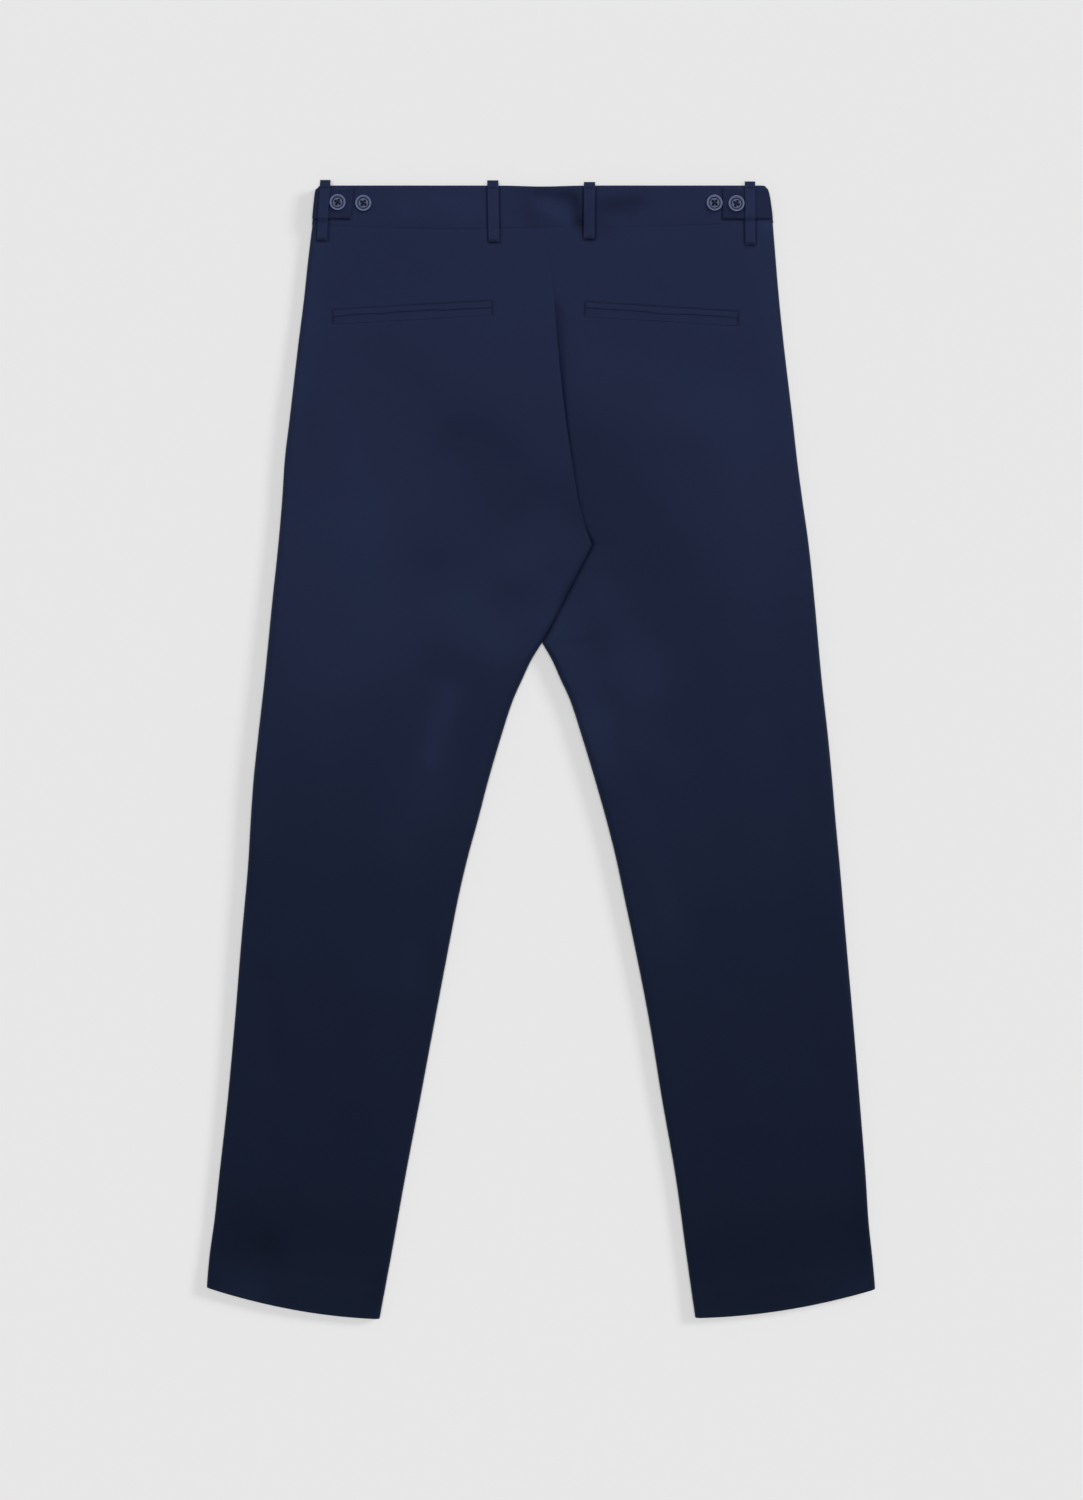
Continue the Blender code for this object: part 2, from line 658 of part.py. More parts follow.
def waistband_front(side, sides):
    """Make one front end of the waistband, flat on the surface but where it laps or crosses a loop."""
    sign = -side.inward
    loop_near, loop_far = FRONT_LOOP_RAMP
    loop_mid = (loop_near + loop_far) / 2
    beside_loop = (loop_far, loop_mid, loop_near, -loop_near, -loop_mid, -loop_far)
    around_loop = [FRONT_LOOP_X + shift for shift in beside_loop]
    stations = [sign * off for off in [FRONT_BAND_XS[0]] + around_loop + [FRONT_BAND_XS[1]]]
    if side.name == "left":
        stations += [-FRONT_BAND_XS[2], LAP_LEFT_END]
    else:
        low, high = LAP_RAMP
        stations += [low + (high - low) * step for step in LAP_STEPS] + [LAP_RIGHT_END]
    rims = [BAND_RIM * (1 - math.cos(math.radians(angle))) for angle in FRONT_ANGLES]
    seam = BAND_HIGH / 2 - GAP / 2
    rows = []
    for depth in FRONT_BAND_DEPTHS:
        end = band_ends(depth)[0 if side.name == "left" else 1]
        xs = [end + side.inward * rim for rim in rims] + stations
        row = []
        for x in xs:
            rise = seam * (1 - roll(side.inward * (x - end) / BAND_RIM, 2.0))
            row.append((x, band_depth_y(x, depth, sides, False), rise + front_lift(x, side.name)))
        rows.append(row)
    grid = np.array(rows)
    normals = outward(grid, -1.0)
    normals[:, :, 1] = 0.0
    normals[:, 0] = (-side.inward, 0.0, 0.0)
    normals[:, -1] = (0.0, 0.0, -1.0)
    normals /= np.linalg.norm(normals, axis=2, keepdims=True)
    cloth = np.array([BAND_EDGE_CLOTH] + [FRONT_BAND_CLOTH] * (len(FRONT_BAND_DEPTHS) - 1))
    grid[0, 1:, 2] += FRONT_BAND_EDGE_RISE
    inside = grid - normals * cloth[:, None, None]
    return closed_wall("waistband_front_" + side.name, grid, inside, "twill")


class Surface:
    """The upper faces of some pieces, to lay other pieces on."""

    def __init__(self, things):
        corners = []
        faces = []
        for thing in things:
            start = len(corners)
            corners += [vertex.co.copy() for vertex in thing.data.vertices]
            faces += [[start + index for index in face.vertices] for face in thing.data.polygons]
        self.tree = BVHTree.FromPolygons(corners, faces)

    def high(self, x, y):
        """Height of the top face under one place, in millimetres."""
        hit = self.tree.ray_cast(Vector((x * MM, y * MM, 0.1)), Vector((0, 0, -1)))[0]
        if hit is None:
            raise ValueError("nothing lies under %.1f, %.1f" % (x, y))
        return hit.z / MM


def belt_loop(row, surface, sides):
    """Make one belt loop: a flat strip that clears the waistband's top edge and hangs below its seam."""
    seam = seam_y((row.top_x + row.low_x) / 2, sides, True)
    half = row.wide / 2
    offsets = (-half, -half + LOOP_BEVEL, half - LOOP_BEVEL, half)
    cloths = (LOOP_EDGE_CLOTH, LOOP_CLOTH, LOOP_CLOTH, LOOP_EDGE_CLOTH)
    under_top = BAND_TOP - BAND_DIP - LOOP_OVER_EDGE
    if row.over_tab:
        tab = TABS[0] if row.top_x < 0 else TABS[1]
        on_tab = (tab.top_y - LOOP_OVER_EDGE, tab.low_y + LOOP_OVER_EDGE)
        stops = [(row.top_y, on_tab[0]), (BAND_TOP, on_tab[0]), (on_tab[0], on_tab[0])]
        stops += [(on_tab[1], on_tab[1]), (tab.low_y - LOOP_PAST_TAB, on_tab[1])]
    else:
        stops = [(row.top_y, under_top), (BAND_TOP, under_top)] + [(y, y) for y in LOOP_BAND_YS]
    stops += [(seam + off, seam + off) for off in LOOP_SEAM_OFFS]
    stops += [(row.low_y + LOOP_END_DEEP, row.low_y + LOOP_END_DEEP), (row.low_y, row.low_y)]
    tops = []
    lows = []
    for y, under_y in stops:
        share = (row.top_y - y) / (row.top_y - row.low_y)
        centre = row.top_x + (row.low_x - row.top_x) * share
        bow = LOOP_BOW * math.sin(math.pi * share)
        thinned = LOOP_END_THINNED if y in (row.top_y, row.low_y) else 0.0
        lows.append([(centre + off, y, surface.high(centre + off, under_y) + REST + bow) for off in offsets])
        tops.append([(x, y, z + cloth - thinned) for (x, y, z), cloth in zip(lows[-1], cloths)])
    return closed_wall(row.name, np.array(tops), np.array(lows), "twill")


def front_belt_loop(side, sides):
    """Make a belt loop under the front of the waistband, flat on the surface and as high as its edge."""
    centre = -side.inward * FRONT_LOOP_X
    half = FRONT_LOOP_WIDE / 2
    ys = (BAND_TOP - FRONT_LOOP_UNDER, seam_y(centre, sides, False) + FRONT_LOOP_PAST_SEAM)
    xs = (centre - half, centre - half + LOOP_BEVEL, centre + half - LOOP_BEVEL, centre + half)
    cloths = (FRONT_LOOP_EDGE_CLOTH, FRONT_LOOP_CLOTH, FRONT_LOOP_CLOTH, FRONT_LOOP_EDGE_CLOTH)
    tops = np.array([[(x, y, cloth) for x, cloth in zip(xs, cloths)] for y in ys])
    lows = np.array([[(x, y, 0.0) for x in xs] for y in ys])
    return closed_wall("belt_loop_front_" + side.name, tops, lows, "twill")


def adjuster_tab(row, surface):
    """Make one adjuster tab: a strap from the side seam, bent round the waistband's side roll."""
    sign = 1.0 if row.side == "left" else -1.0
    tops = []
    lows = []
    for step in TAB_STEPS:
        y = row.top_y + (row.low_y - row.top_y) * step
        end = band_ends(BAND_TOP - y)[0 if row.side == "left" else 1]
        free = row.end_top + (row.end_low - row.end_top) * step
        flat = end + sign * BAND_RIM
        stations = [(end + sign * BAND_RIM * (1 - math.cos(math.radians(angle))), angle, 0.0)
                    for angle in TAB_ANGLES]
        stations += [(flat + (free - flat) * share, 90.0, share) for share in TAB_SHARES]
        low_row = []
        top_row = []
        for x, angle, share in stations:
            lean = math.radians(angle)
            out = -sign * math.cos(lean)
            base = surface.high(x, y)
            lift = REST + TAB_SIDE_LIFT * math.cos(lean) + row.stand_off * share ** 2
            low_row.append((x + out * lift, y, base + math.sin(lean) * lift))
            lift += TAB_EDGE_CLOTH if step in (0.0, 1.0) or share == 1.0 else TAB_CLOTH
            top_row.append((x + out * lift, y, base + math.sin(lean) * lift))
        lows.append(low_row)
        tops.append(top_row)
    return closed_wall(row.name, np.array(tops), np.array(lows), "twill")


def pocket_jet(row, surface, above):
    """Make one of the two folded strips along a back pocket's mouth."""
    along = Vector((row.inner_x - row.outer_x, row.inner_y - row.outer_y))
    across = Vector((-along.y, along.x)).normalized()
    if (across.y > 0) != above:
        across = -across
    tops = []
    lows = []
    for step in range(JET_STEPS + 1):
        on_mouth = Vector((row.outer_x, row.outer_y)) + along * (step / JET_STEPS)
        low_row = []
        for off in JET_PROFILE:
            place = on_mouth + across * (MOUTH_GAP / 2 + JET_DEEP * off.share)
            low_row.append((place.x, place.y, surface.high(place.x, place.y) + REST))
        lows.append(low_row)
        tops.append([(x, y, z + off.cloth) for (x, y, z), off in zip(low_row, JET_PROFILE)])
    name = row.name + ("_upper_jet" if above else "_lower_jet")
    return closed_wall(name, np.array(tops), np.array(lows), "twill")


def button_mesh():
    """Turn the button's profile and cut its four holes."""
    shape = bmesh.new()
    ring = [shape.verts.new((row.radius * BUTTON_RADIUS * MM, 0.0, row.high * BUTTON_THICK * MM))
            for row in BUTTON_PROFILE]
    edges = [shape.edges.new(pair) for pair in zip(ring, ring[1:])]
    bmesh.ops.spin(shape, geom=ring + edges, cent=(0, 0, 0), axis=(0, 0, 1), angle=math.tau,
                   steps=BUTTON_SIDES, use_merge=True)
    bmesh.ops.remove_doubles(shape, verts=shape.verts, dist=0.00001)
    bmesh.ops.recalc_face_normals(shape, faces=shape.faces)
    mesh = bpy.data.meshes.new("button_blank")
    shape.to_mesh(mesh)
    shape.free()
    blank = bpy.data.objects.new("button_blank", mesh)
    bpy.context.collection.objects.link(blank)

    drill = bmesh.new()
    for quarter in range(4):
        angle = math.radians(45 + 90 * quarter)
        reach = BUTTON_HOLE_OFFSET * math.sqrt(2) * MM
        place = Matrix.Translation((reach * math.cos(angle), reach * math.sin(angle), BUTTON_THICK * MM / 2))
        bmesh.ops.create_cone(drill, cap_ends=True, segments=8, radius1=BUTTON_HOLE_RADIUS * MM,
                              radius2=BUTTON_HOLE_RADIUS * MM, depth=BUTTON_THICK * 3 * MM, matrix=place)
    drill_mesh = bpy.data.meshes.new("button_drill")
    drill.to_mesh(drill_mesh)
    drill.free()
    cutter = bpy.data.objects.new("button_drill", drill_mesh)
    bpy.context.collection.objects.link(cutter)

    cut = blank.modifiers.new("holes", "BOOLEAN")
    cut.operation = "DIFFERENCE"
    cut.solver = "EXACT"
    cut.object = cutter
    graph = bpy.context.evaluated_depsgraph_get()
    done = bpy.data.meshes.new_from_object(blank.evaluated_get(graph))
    done.name = "button"
    bpy.data.objects.remove(blank, do_unlink=True)
    bpy.data.objects.remove(cutter, do_unlink=True)
    done.shade_smooth()
    done.set_sharp_from_angle(angle=math.radians(40))
    done.materials.clear()
    done.materials.append(finish("button"))
    return done


def place_button(row, mesh, band, tabs):
    """Sew a button on the waistband or on a tab, tipped about the long direction of the legs."""
    base = tabs if row.on_tab else band
    feet = (-BUTTON_FOOT * BUTTON_RADIUS, 0.0, BUTTON_FOOT * BUTTON_RADIUS)
    highest = max(base.high(row.x + foot, row.y) for foot in feet)
    lift = REST + abs(math.sin(math.radians(row.tilt))) * BUTTON_RADIUS
    thing = bpy.data.objects.new(row.name, mesh)
    thing.location = Vector((row.x, row.y, highest + lift)) * MM
    thing.rotation_euler = (0.0, math.radians(row.tilt), math.radians(BUTTON_TURN))
    bpy.context.collection.objects.link(thing)
    return thing


def block(shape, centre, size, bevel):
    """Add a box with softened edges to a mesh, sizes in millimetres."""
    made = bmesh.ops.create_cube(shape, size=1.0)
    bmesh.ops.scale(shape, vec=Vector(size) * MM, verts=made["verts"])
    bmesh.ops.translate(shape, vec=Vector(centre) * MM, verts=made["verts"])
    upright = [edge for edge in {edge for vert in made["verts"] for edge in vert.link_edges}
               if abs(edge.verts[0].co.z - edge.verts[1].co.z) > size[2] * MM * 0.5]
    bmesh.ops.bevel(shape, geom=upright, offset=bevel * MM, segments=2, affect="EDGES", profile=0.5)


def plate(name, centre, size, bevel, material):
    """Make a flat plate with rounded corners."""
    shape = bmesh.new()
    block(shape, centre, size, bevel)
    mesh = bpy.data.meshes.new(name)
    shape.to_mesh(mesh)
    shape.free()
    return add_object(name, mesh, material)


def fly_zip():
    """Make the closed zip inside the front seam: two tapes with the chain between them."""
    low = CLOTH + GAP
    foot = ZIP_CHAIN_WIDE + ZIP_CHAIN_SIDE
    xs = (-ZIP_TAPE_WIDE, -foot, -ZIP_CHAIN_WIDE, ZIP_CHAIN_WIDE, foot, ZIP_TAPE_WIDE)
    highs = (ZIP_TAPE_CLOTH, ZIP_TAPE_CLOTH, ZIP_CHAIN_HIGH, ZIP_CHAIN_HIGH, ZIP_TAPE_CLOTH, ZIP_TAPE_CLOTH)
    ys = (ZIP_TOP_Y, ZIP_TOP_Y - ZIP_LONG)
    tops = np.array([[(FRONT_SEAM_X + x, y, low + high) for x, high in zip(xs, highs)] for y in ys])
    lows = np.array([[(FRONT_SEAM_X + x, y, low) for x in xs] for y in ys])
    return closed_wall("fly_zip", tops, lows, "tape")


def zip_slider():
    """Make the slider at the top of the zip, with its pull lying down the chain, as one piece."""
    low = CLOTH + GAP + ZIP_CHAIN_HIGH + GAP
    body_y = ZIP_TOP_Y - SLIDER_DOWN
    shape = bmesh.new()
    block(shape, (FRONT_SEAM_X, body_y, low + SLIDER[2] / 2), SLIDER, SLIDER_BEVEL)
    body_mesh = bpy.data.meshes.new("zip_slider")
    shape.to_mesh(body_mesh)
    shape.free()
    slider = add_object("zip_slider", body_mesh, "metal")
    pull_centre = (FRONT_SEAM_X, body_y - PULL_DOWN, low + PULL[2] / 2)
    pull = plate("zip_pull_shape", pull_centre, PULL, PULL_BEVEL, "metal")
    pull.hide_render = True
    pull.display_type = "WIRE"
    join = slider.modifiers.new("pull", "BOOLEAN")
    join.operation = "UNION"
    join.solver = "EXACT"
    join.object = pull
    return slider


def build():
    """Build every piece of the trousers."""
    clear_scene()
    sides = (Side("left"), Side("right"))
    backs = [panel(side, True) for side in sides]
    band = waistband_back(sides)
    for side in sides:
        panel(side, False)
        waistband_front(side, sides)
        front_belt_loop(side, sides)
    band_surface = Surface([band])
    tabs = [adjuster_tab(row, band_surface) for row in TABS]
    tab_surface = Surface(tabs)
    loop_surface = Surface(backs + [band] + tabs)
    for row in BELT_LOOPS:
        belt_loop(row, loop_surface, sides)
    seat = Surface(backs)
    for row in POCKETS:
        pocket_jet(row, seat, True)
        pocket_jet(row, seat, False)
    mesh = button_mesh()
    for row in BUTTONS:
        place_button(row, mesh, band_surface, tab_surface)
    fly_zip()
    zip_slider()
    hook_high = FRONT_BAND_CLOTH + GAP + HOOK_PLATE[2] / 2
    plate("waist_hook", (HOOK_X, HOOK_Y, hook_high), HOOK_PLATE, PLATE_BEVEL, "metal")
    bar_high = hook_high + HOOK_PLATE[2] / 2 + GAP + BAR_PLATE[2] / 2
    plate("waist_bar", (HOOK_X, HOOK_Y, bar_high), BAR_PLATE, PLATE_BEVEL, "metal")


build()
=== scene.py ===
"""Chino trousers laid flat on their front: cloth, sewing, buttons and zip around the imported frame.

The frame: +Y runs from the hems to the waist, +X to the wearer's right, +Z up from the surface.
Tables and sizes of the cloth are in millimetres, and the meshes are made in metres.
"""

import math
from collections import namedtuple

import bmesh
import bpy
import numpy as np
from bpy.props import FloatProperty, FloatVectorProperty, PointerProperty
from mathutils import Matrix, Vector
from mathutils.bvhtree import BVHTree


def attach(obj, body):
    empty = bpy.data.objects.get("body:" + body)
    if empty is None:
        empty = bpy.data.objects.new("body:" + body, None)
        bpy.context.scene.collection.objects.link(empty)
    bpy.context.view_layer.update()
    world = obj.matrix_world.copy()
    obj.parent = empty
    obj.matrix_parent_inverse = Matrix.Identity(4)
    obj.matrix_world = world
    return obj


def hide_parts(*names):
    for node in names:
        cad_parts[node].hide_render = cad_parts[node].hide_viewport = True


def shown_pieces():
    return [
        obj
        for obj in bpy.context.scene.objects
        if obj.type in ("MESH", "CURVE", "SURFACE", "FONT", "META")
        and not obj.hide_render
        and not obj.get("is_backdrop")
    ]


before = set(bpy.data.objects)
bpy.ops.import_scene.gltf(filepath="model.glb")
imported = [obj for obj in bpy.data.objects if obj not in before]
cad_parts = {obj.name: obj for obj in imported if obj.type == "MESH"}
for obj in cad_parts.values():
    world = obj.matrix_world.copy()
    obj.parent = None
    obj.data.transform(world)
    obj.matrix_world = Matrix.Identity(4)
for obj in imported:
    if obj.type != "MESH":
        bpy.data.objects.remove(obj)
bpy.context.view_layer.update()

bl_info = {
    "name": "Chino trousers",
    "version": (1, 0, 0),
    "blender": (4, 5, 0),
    "location": "View3D > Sidebar > Trousers",
    "description": "Lays navy chino trousers on their front: twill walls, sewing, buttons and zip",
    "category": "Object",
}

MM = 0.001
GAP = 0.1
INWARD = {"left": 1.0, "right": -1.0}

# Waist and hems
BAND_TOP = 530.6
BAND_DIP = 0.9
BAND_DIP_WIDE = 24.0
SEAM_INNER_Y = 491.6
SEAM_OUTER_Y = {"left": 494.4, "right": 496.2}
SEAM_BOW = {"left": 3.2, "right": 1.2}
HEM_INNER_Y = {"left": -535.2, "right": -534.2}
HEM_OUTER_Y = {"left": -505.4, "right": -507.0}
HEM_BOW = 6.0
HEM_BAND_DEEP = 29.0
BAND_DEEP = BAND_TOP - SEAM_INNER_Y

# Heights of the laid cloth
BAND_HIGH = 9.8
BAND_RIM = 5.2
OUTER_FADE = 46.0
INNER_FADE = 42.0
RIM_SHARE = 0.58
FRONT_RIM = 7.0
FORK_Y = 100.6
TIP_Y = 192.7
FRONT_SEAM_X = 0.94


def table(columns, rows):
    """Give each row of values its column names."""
    row_type = namedtuple("Row", columns)
    return [row_type(*row) for row in rows]


# The side seams from waist to hem
SIDES = table("y left right", [
    (492, -215.4, 218.5), (459, -219.4, 221.1), (423, -223.2, 224.2), (385, -228, 228.1),
    (310, -236.7, 236.9), (273, -241.1, 241), (235, -243.6, 246), (193, -247.2, 251.9),
    (141, -252.7, 257.3), (66, -260.1, 264.1), (9, -266.5, 270.4), (-28, -270.4, 273.9),
    (-66, -273.1, 277.1), (-103, -275.2, 280.6), (-179, -281.9, 287.1), (-254, -288, 293.7),
    (-329, -294.9, 299.9), (-404, -303.2, 305.8), (-442, -307.3, 308.2), (-479, -312.3, 312),
    (-507, -314.5, 314.4), (-540, -316.4, 316.2),
])

# The back seam, down to the tip that is folded over the right leg
BACK_SEAM = table("y x", [
    (492, 2), (455, 8), (418, 13), (385, 15.4), (357, 18), (310, 23.5), (273, 29), (235, 35), (211, 41),
    (TIP_Y, 47.9),
])

# The crease that the right leg's cloth makes beside the left leg's edge
CREASE = table("y deep wide", [
    (440, 0, 3), (424, 0.5, 3.2), (412, 2.2, 5.4), (385, 2.4, 5), (357, 2.2, 3.6), (335, 2, 2.4),
    (310, 1.4, 1.8), (285, 1, 1.9), (262, 0.8, 2.2), (235, 0.8, 2.2), (215, 0.8, 2.2), (TIP_Y, 2.4, 2.4),
    (165, 2.8, 2.5), (130, 2.8, 2.5), (108, 1.6, 2.2), (FORK_Y, 0, 1.6),
])

# From the tip down to the fork the left leg's edge lies on the right leg
FOLDED_EDGE = table("y x", [
    (TIP_Y, 47.9), (141, 21.7), (FORK_Y, 0.9), (84.6, -9.2), (65.8, -17.9),
])

# The inside leg seams from the fork to the hems
INSEAMS = table("y left right", [
    (FORK_Y, 0.7, 1.2), (84.6, -9.2, 10.5), (65.8, -17.9, 18.8), (47, -26.3, 27.4), (9, -38.6, 39.7),
    (-28, -49.4, 50.9), (-66, -59.3, 61.6), (-103, -69.4, 70.9), (-141, -78.2, 78.9), (-179, -85.6, 87),
    (-254, -99.8, 101.7), (-329, -113.8, 114), (-404, -128.1, 127.1), (-479, -141.5, 137.4),
    (-516, -148.4, 142.6), (-540, -152.8, 146.2),
])

# Heights of the top cloth at the side seam's bead, in the middle, and at the inner bead or ridge
HEIGHTS = table("y outer middle left_ridge right_ridge", [
    (492, 9.4, 9.3, 9.3, 9.3), (423, 10, 9.5, 9.8, 9.6), (385, 10.4, 9.6, 10.1, 9.8),
    (310, 10.9, 9.8, 10.4, 10.1), (235, 11.3, 10, 10.7, 10.4), (193, 11.6, 10.2, 11, 10.3),
    (171, 11.8, 10.3, 11.6, 10.3), (141, 12.2, 10.3, 12.2, 10.2), (121, 12.5, 10.2, 12.2, 10.5),
    (FORK_Y, 12.7, 10.1, 11.8, 11.4), (65, 13, 9.9, 11.8, 11.8), (0, 13.3, 9.7, 11.8, 11.8),
    (-100, 12.6, 9.3, 11.3, 11.3), (-235, 11, 8.9, 10.2, 10.2), (-329, 10, 8.7, 9.5, 9.5),
    (-423, 9.3, 8.5, 9, 9), (-505, 8.8, 8.5, 8.7, 8.7), (-540, 8.6, 8.4, 8.5, 8.5),
])

# How the two backs meet above the fork: edge height, width of the roll, its roundness (1 a valley,
# 2 an ellipse), how far the right is tucked under, and the rise of the fronts' edges
EDGES = table("y left_edge left_rim left_round right_edge right_rim right_round tuck front_edge", [
    (492, 9.2, 20, 1, 9.2, 30, 1, -0.02, 0), (423, 9.5, 10, 1.1, 9, 20, 1, -0.02, 0),
    (385, 9.8, 8, 1.3, 7.8, 22, 1, -0.1, 0), (310, 9.9, 7, 1.5, 7.6, 24, 1, -0.1, 0),
    (235, 9.9, 7, 1.6, 7.6, 34, 1, -0.1, 0), (TIP_Y, 9.7, 7.5, 1.7, 7.2, 44, 1, -0.1, 0),
    (183, 9.5, 8, 1.8, 7, 50, 1, 3, 0), (171, 9.4, 8.2, 2, 7, 52, 1, 7, 0),
    (141, 9.4, 8.2, 2, 7.1, 44, 1, 8, 0), (130, 9.3, 8, 2, 7.1, 34, 1.1, 8, 0.9),
    (121, 9.2, 7.8, 2, 6.9, 24, 1.3, 4, 2.2), (111, 8.2, 7.2, 2, 6.6, 14, 1.7, -0.2, 4),
    (FORK_Y, 6.1, 6.9, 2, 5.9, 6.6, 2, -0.2, 5.55),
])

# Soft folds of the top cloth, each along a line from a to b
FOLDS = table("ax ay bx by wide high", [
    (-148, 356, -40, 275, 26, -2.4), (-60, 290, 22, 215, 22, -2.2), (-204, 318, -180, 215, 34, 1.9),
    (-110, 205, -45, 160, 30, 1.6), (-30, 168, 8, 150, 16, 0.7), (60, 385, 175, 350, 26, -1),
    (58, 318, 140, 296, 30, 1.5), (150, 300, 200, 205, 32, 1.1), (84, 218, 110, 168, 26, -1),
    (70, 62, 92, -5, 20, 1.9), (128, -28, 158, -140, 24, 1.8), (-130, 40, -104, -60, 26, 1.2),
    (-190, 20, -170, -150, 26, -1.2), (200, 30, 214, -170, 26, -1.1), (-262, -215, -252, -300, 12, -1.3),
    (-160, -230, -172, -330, 20, 1.2), (176, -250, 190, -350, 20, 1.1), (-276, -440, -262, -468, 13, -1.2),
    (-238, -404, -214, -430, 16, 0.8), (-14, 520, 24, 512, 9, -1.5), (22, 513, 50, 488, 10, -2.2),
    (54, 503, 94, 507, 11, -1.6),
])

# Finer creases of the top cloth
CREASES = table("ax ay bx by wide high", [
    (-176, 372, -120, 340, 12, -0.35), (-110, 318, -78, 292, 10, -0.3), (-196, 300, -178, 250, 14, 0.4),
    (20, 180, 30, 150, 9, 0.5), (92, 225, 112, 190, 14, -0.5), (88, 330, 130, 322, 10, -0.25),
    (64, 20, 84, 2, 9, 0.45), (176, 96, 196, 88, 12, 0.4), (244, 96, 252, -60, 7, -0.5),
    (-76, -86, -88, -160, 8, -0.5), (-96, -176, -98, -198, 6, 0.5), (92, -140, 106, -184, 7, -0.5),
    (-218, -200, -236, -272, 9, 0.4), (-252, -340, -238, -372, 9, 0.4), (150, -330, 160, -392, 10, -0.3),
    (268, -300, 282, -340, 8, -0.35), (-286, -452, -268, -476, 8, -0.35), (270, -446, 300, -462, 7, -0.3),
    (-128, 500, -98, 508, 8, 0.35), (-182, 504, -150, 500, 8, -0.35), (-96, 522, -62, 516, 8, -0.45),
    (-30, 501, -8, 497, 6, -0.5), (-4, 509, 24, 503, 7, 0.9), (30, 500, 45, 484, 6, -0.8),
    (100, 512, 130, 520, 8, -0.4), (60, 520, 84, 524, 7, 0.5),
])

# Painted light and shade on the top cloth: soft patches painted paler (above 0) or darker (below 0) in tone,
# along with the wearing of edges
PAINTED_LIGHT_AND_SHADE = table("ax ay bx by wide high", [
    (-215, 215, -198, 95, 84, 0.75), (-190, 20, -120, -30, 66, 0.36), (-256, 348, -268, -80, 13, 0.35),
    (-269, 120, -292, -250, 9, 0.75), (-230, 356, -240, 290, 14, 0.35), (-166, 195, -142, 124, 40, 0.5),
    (-75, 136, -42, 108, 31, 1.15), (-14, 188, -20, 176, 22, 0.35), (-85, 52, -102, -4, 15, 0.8),
    (-108, -40, -130, -78, 34, 0.42), (-121, -190, -124, -222, 12, 0.45), (-212, 500, -219, 424, 12, 0.4),
    (-222, 400, -245, 338, 16, 0.45), (-160, 338, -95, 300, 20, -0.28), (-80, 290, -22, 236, 21, -0.62),
    (50, 292, 96, 180, 37, -0.38), (195, 300, 225, -80, 52, 0.42), (10, 124, 44, 30, 24, 0.72),
    (20, 120, 24, 112, 16, 0.35), (46, 20, 60, -8, 24, 0.8), (62, 145, 104, 72, 26, 0.48),
    (88, 60, 122, -160, 37, 0.54), (216, 470, 230, 380, 18, 0.35), (238, 376, 258, 250, 15, 0.6),
    (259, 322, 263, 282, 12, 0.45), (-286, -448, -160, -456, 30, -0.48), (-276, -466, -255, -472, 20, -0.5),
    (-148, -498, -152, -512, 12, -0.5), (150, -470, 300, -452, 33, -0.52), (172, -512, 232, -506, 15, -0.3),
    (306, -380, 311, -470, 18, -0.35), (-284, -507, -272, -509, 15, 0.75), (306, -507, 296, -509, 14, 0.6),
    (-88, 516, -70, 512, 20, 0.45), (-134, 515, -128, 512, 16, 0.4), (-18, 519, -8, 500, 9, -0.5),
    (-2, 525, 26, 524, 5, -1), (6, 513, 20, 498, 8, 0.55), (33, 520, 36, 498, 6, -1.35),
    (36, 496, 46, 484, 6, -1.1), (58, 514, 90, 516, 8, -0.7), (72, 508, 86, 505, 9, -0.5),
    (58, 502, 64, 488, 8, -0.45), (190, 512, 214, 505, 20, 0.85), (212, 512, 217, 498, 9, 0.9),
    (-196, 508, -180, 500, 16, 0.3),
])

# Soft folds of the lower cloth, which lift it a little off the surface
FRONT_FOLDS = table("ax ay bx by wide high", [
    (-150, 330, -60, 250, 22, 1), (70, 300, 170, 350, 24, 0.9), (-190, 60, -170, -120, 18, 1.1),
    (150, 20, 190, -150, 18, 1), (-150, -260, -170, -380, 14, 0.7), (200, -250, 224, -360, 14, 0.8),
    (28, 190, 60, 130, 12, 0.6), (-30, 200, -64, 128, 12, 0.7),
])

# The waistband's ends, by depth under its top edge
BAND_SIDES = table("y left right", [
    (0, -208.6, 211), (-1.4, -210, 212), (-4.5, -211.8, 213.4), (-12, -212.9, 215.2),
    (-39.5, -215.6, 218.7),
])

# The waistband's front ends: the left end laps over the outside of the right end
LAP_ENDS = {"left": 20.0, "right": -16.0}
LAP_RAMP = (24.0, 40.0)
LAP_LIFT = 3.9
FRONT_LOOP_X = 105.0
FRONT_LOOP_LIFT = 1.3
FRONT_LOOP_RAMP = (6.2, 20.0)

# Belt loops on the back: centre at both ends, width, and how round the low end is
BELT_LOOPS = table("name top_x top_y low_x low_y wide over_tab rounded", [
    ("belt_loop_left", -202.4, 535.2, -206, 478.5, 9.8, True, 0.25),
    ("belt_loop_back_left", -45.3, 535.2, -44.2, 477.2, 10.6, False, 0.25),
    ("belt_loop_back_right", 45.6, 533.6, 45.2, 480.3, 10.6, False, 1),
    ("belt_loop_right", 196.2, 533.8, 196.7, 474.4, 9.8, True, 0.8),
])

# The straps end above this
STRAPS_END_Y = 465.0
# How far stitches lie in from an edge
STITCH_IN = 1.9

# Where the seam under the waistband shows as a soft line, and how deep it is there
SEAM_LINES = table("a b deep", [
    (-206, -152, 0.3), (-138, -54, 0.42), (-36, 22, 0.34), (60, 96, 0.1), (132, 172, 0.26),
])

# Adjuster tabs: the free end, the long edges, and how far the free end stands off
TABS = table("name side end_top end_low top_y low_y stand_off", [
    ("adjuster_tab_left", "left", -176.4, -179, 527.6, 499.2, 0.3),
    ("adjuster_tab_right", "right", 170.9, 170.9, 527.9, 499, 0.9),
])

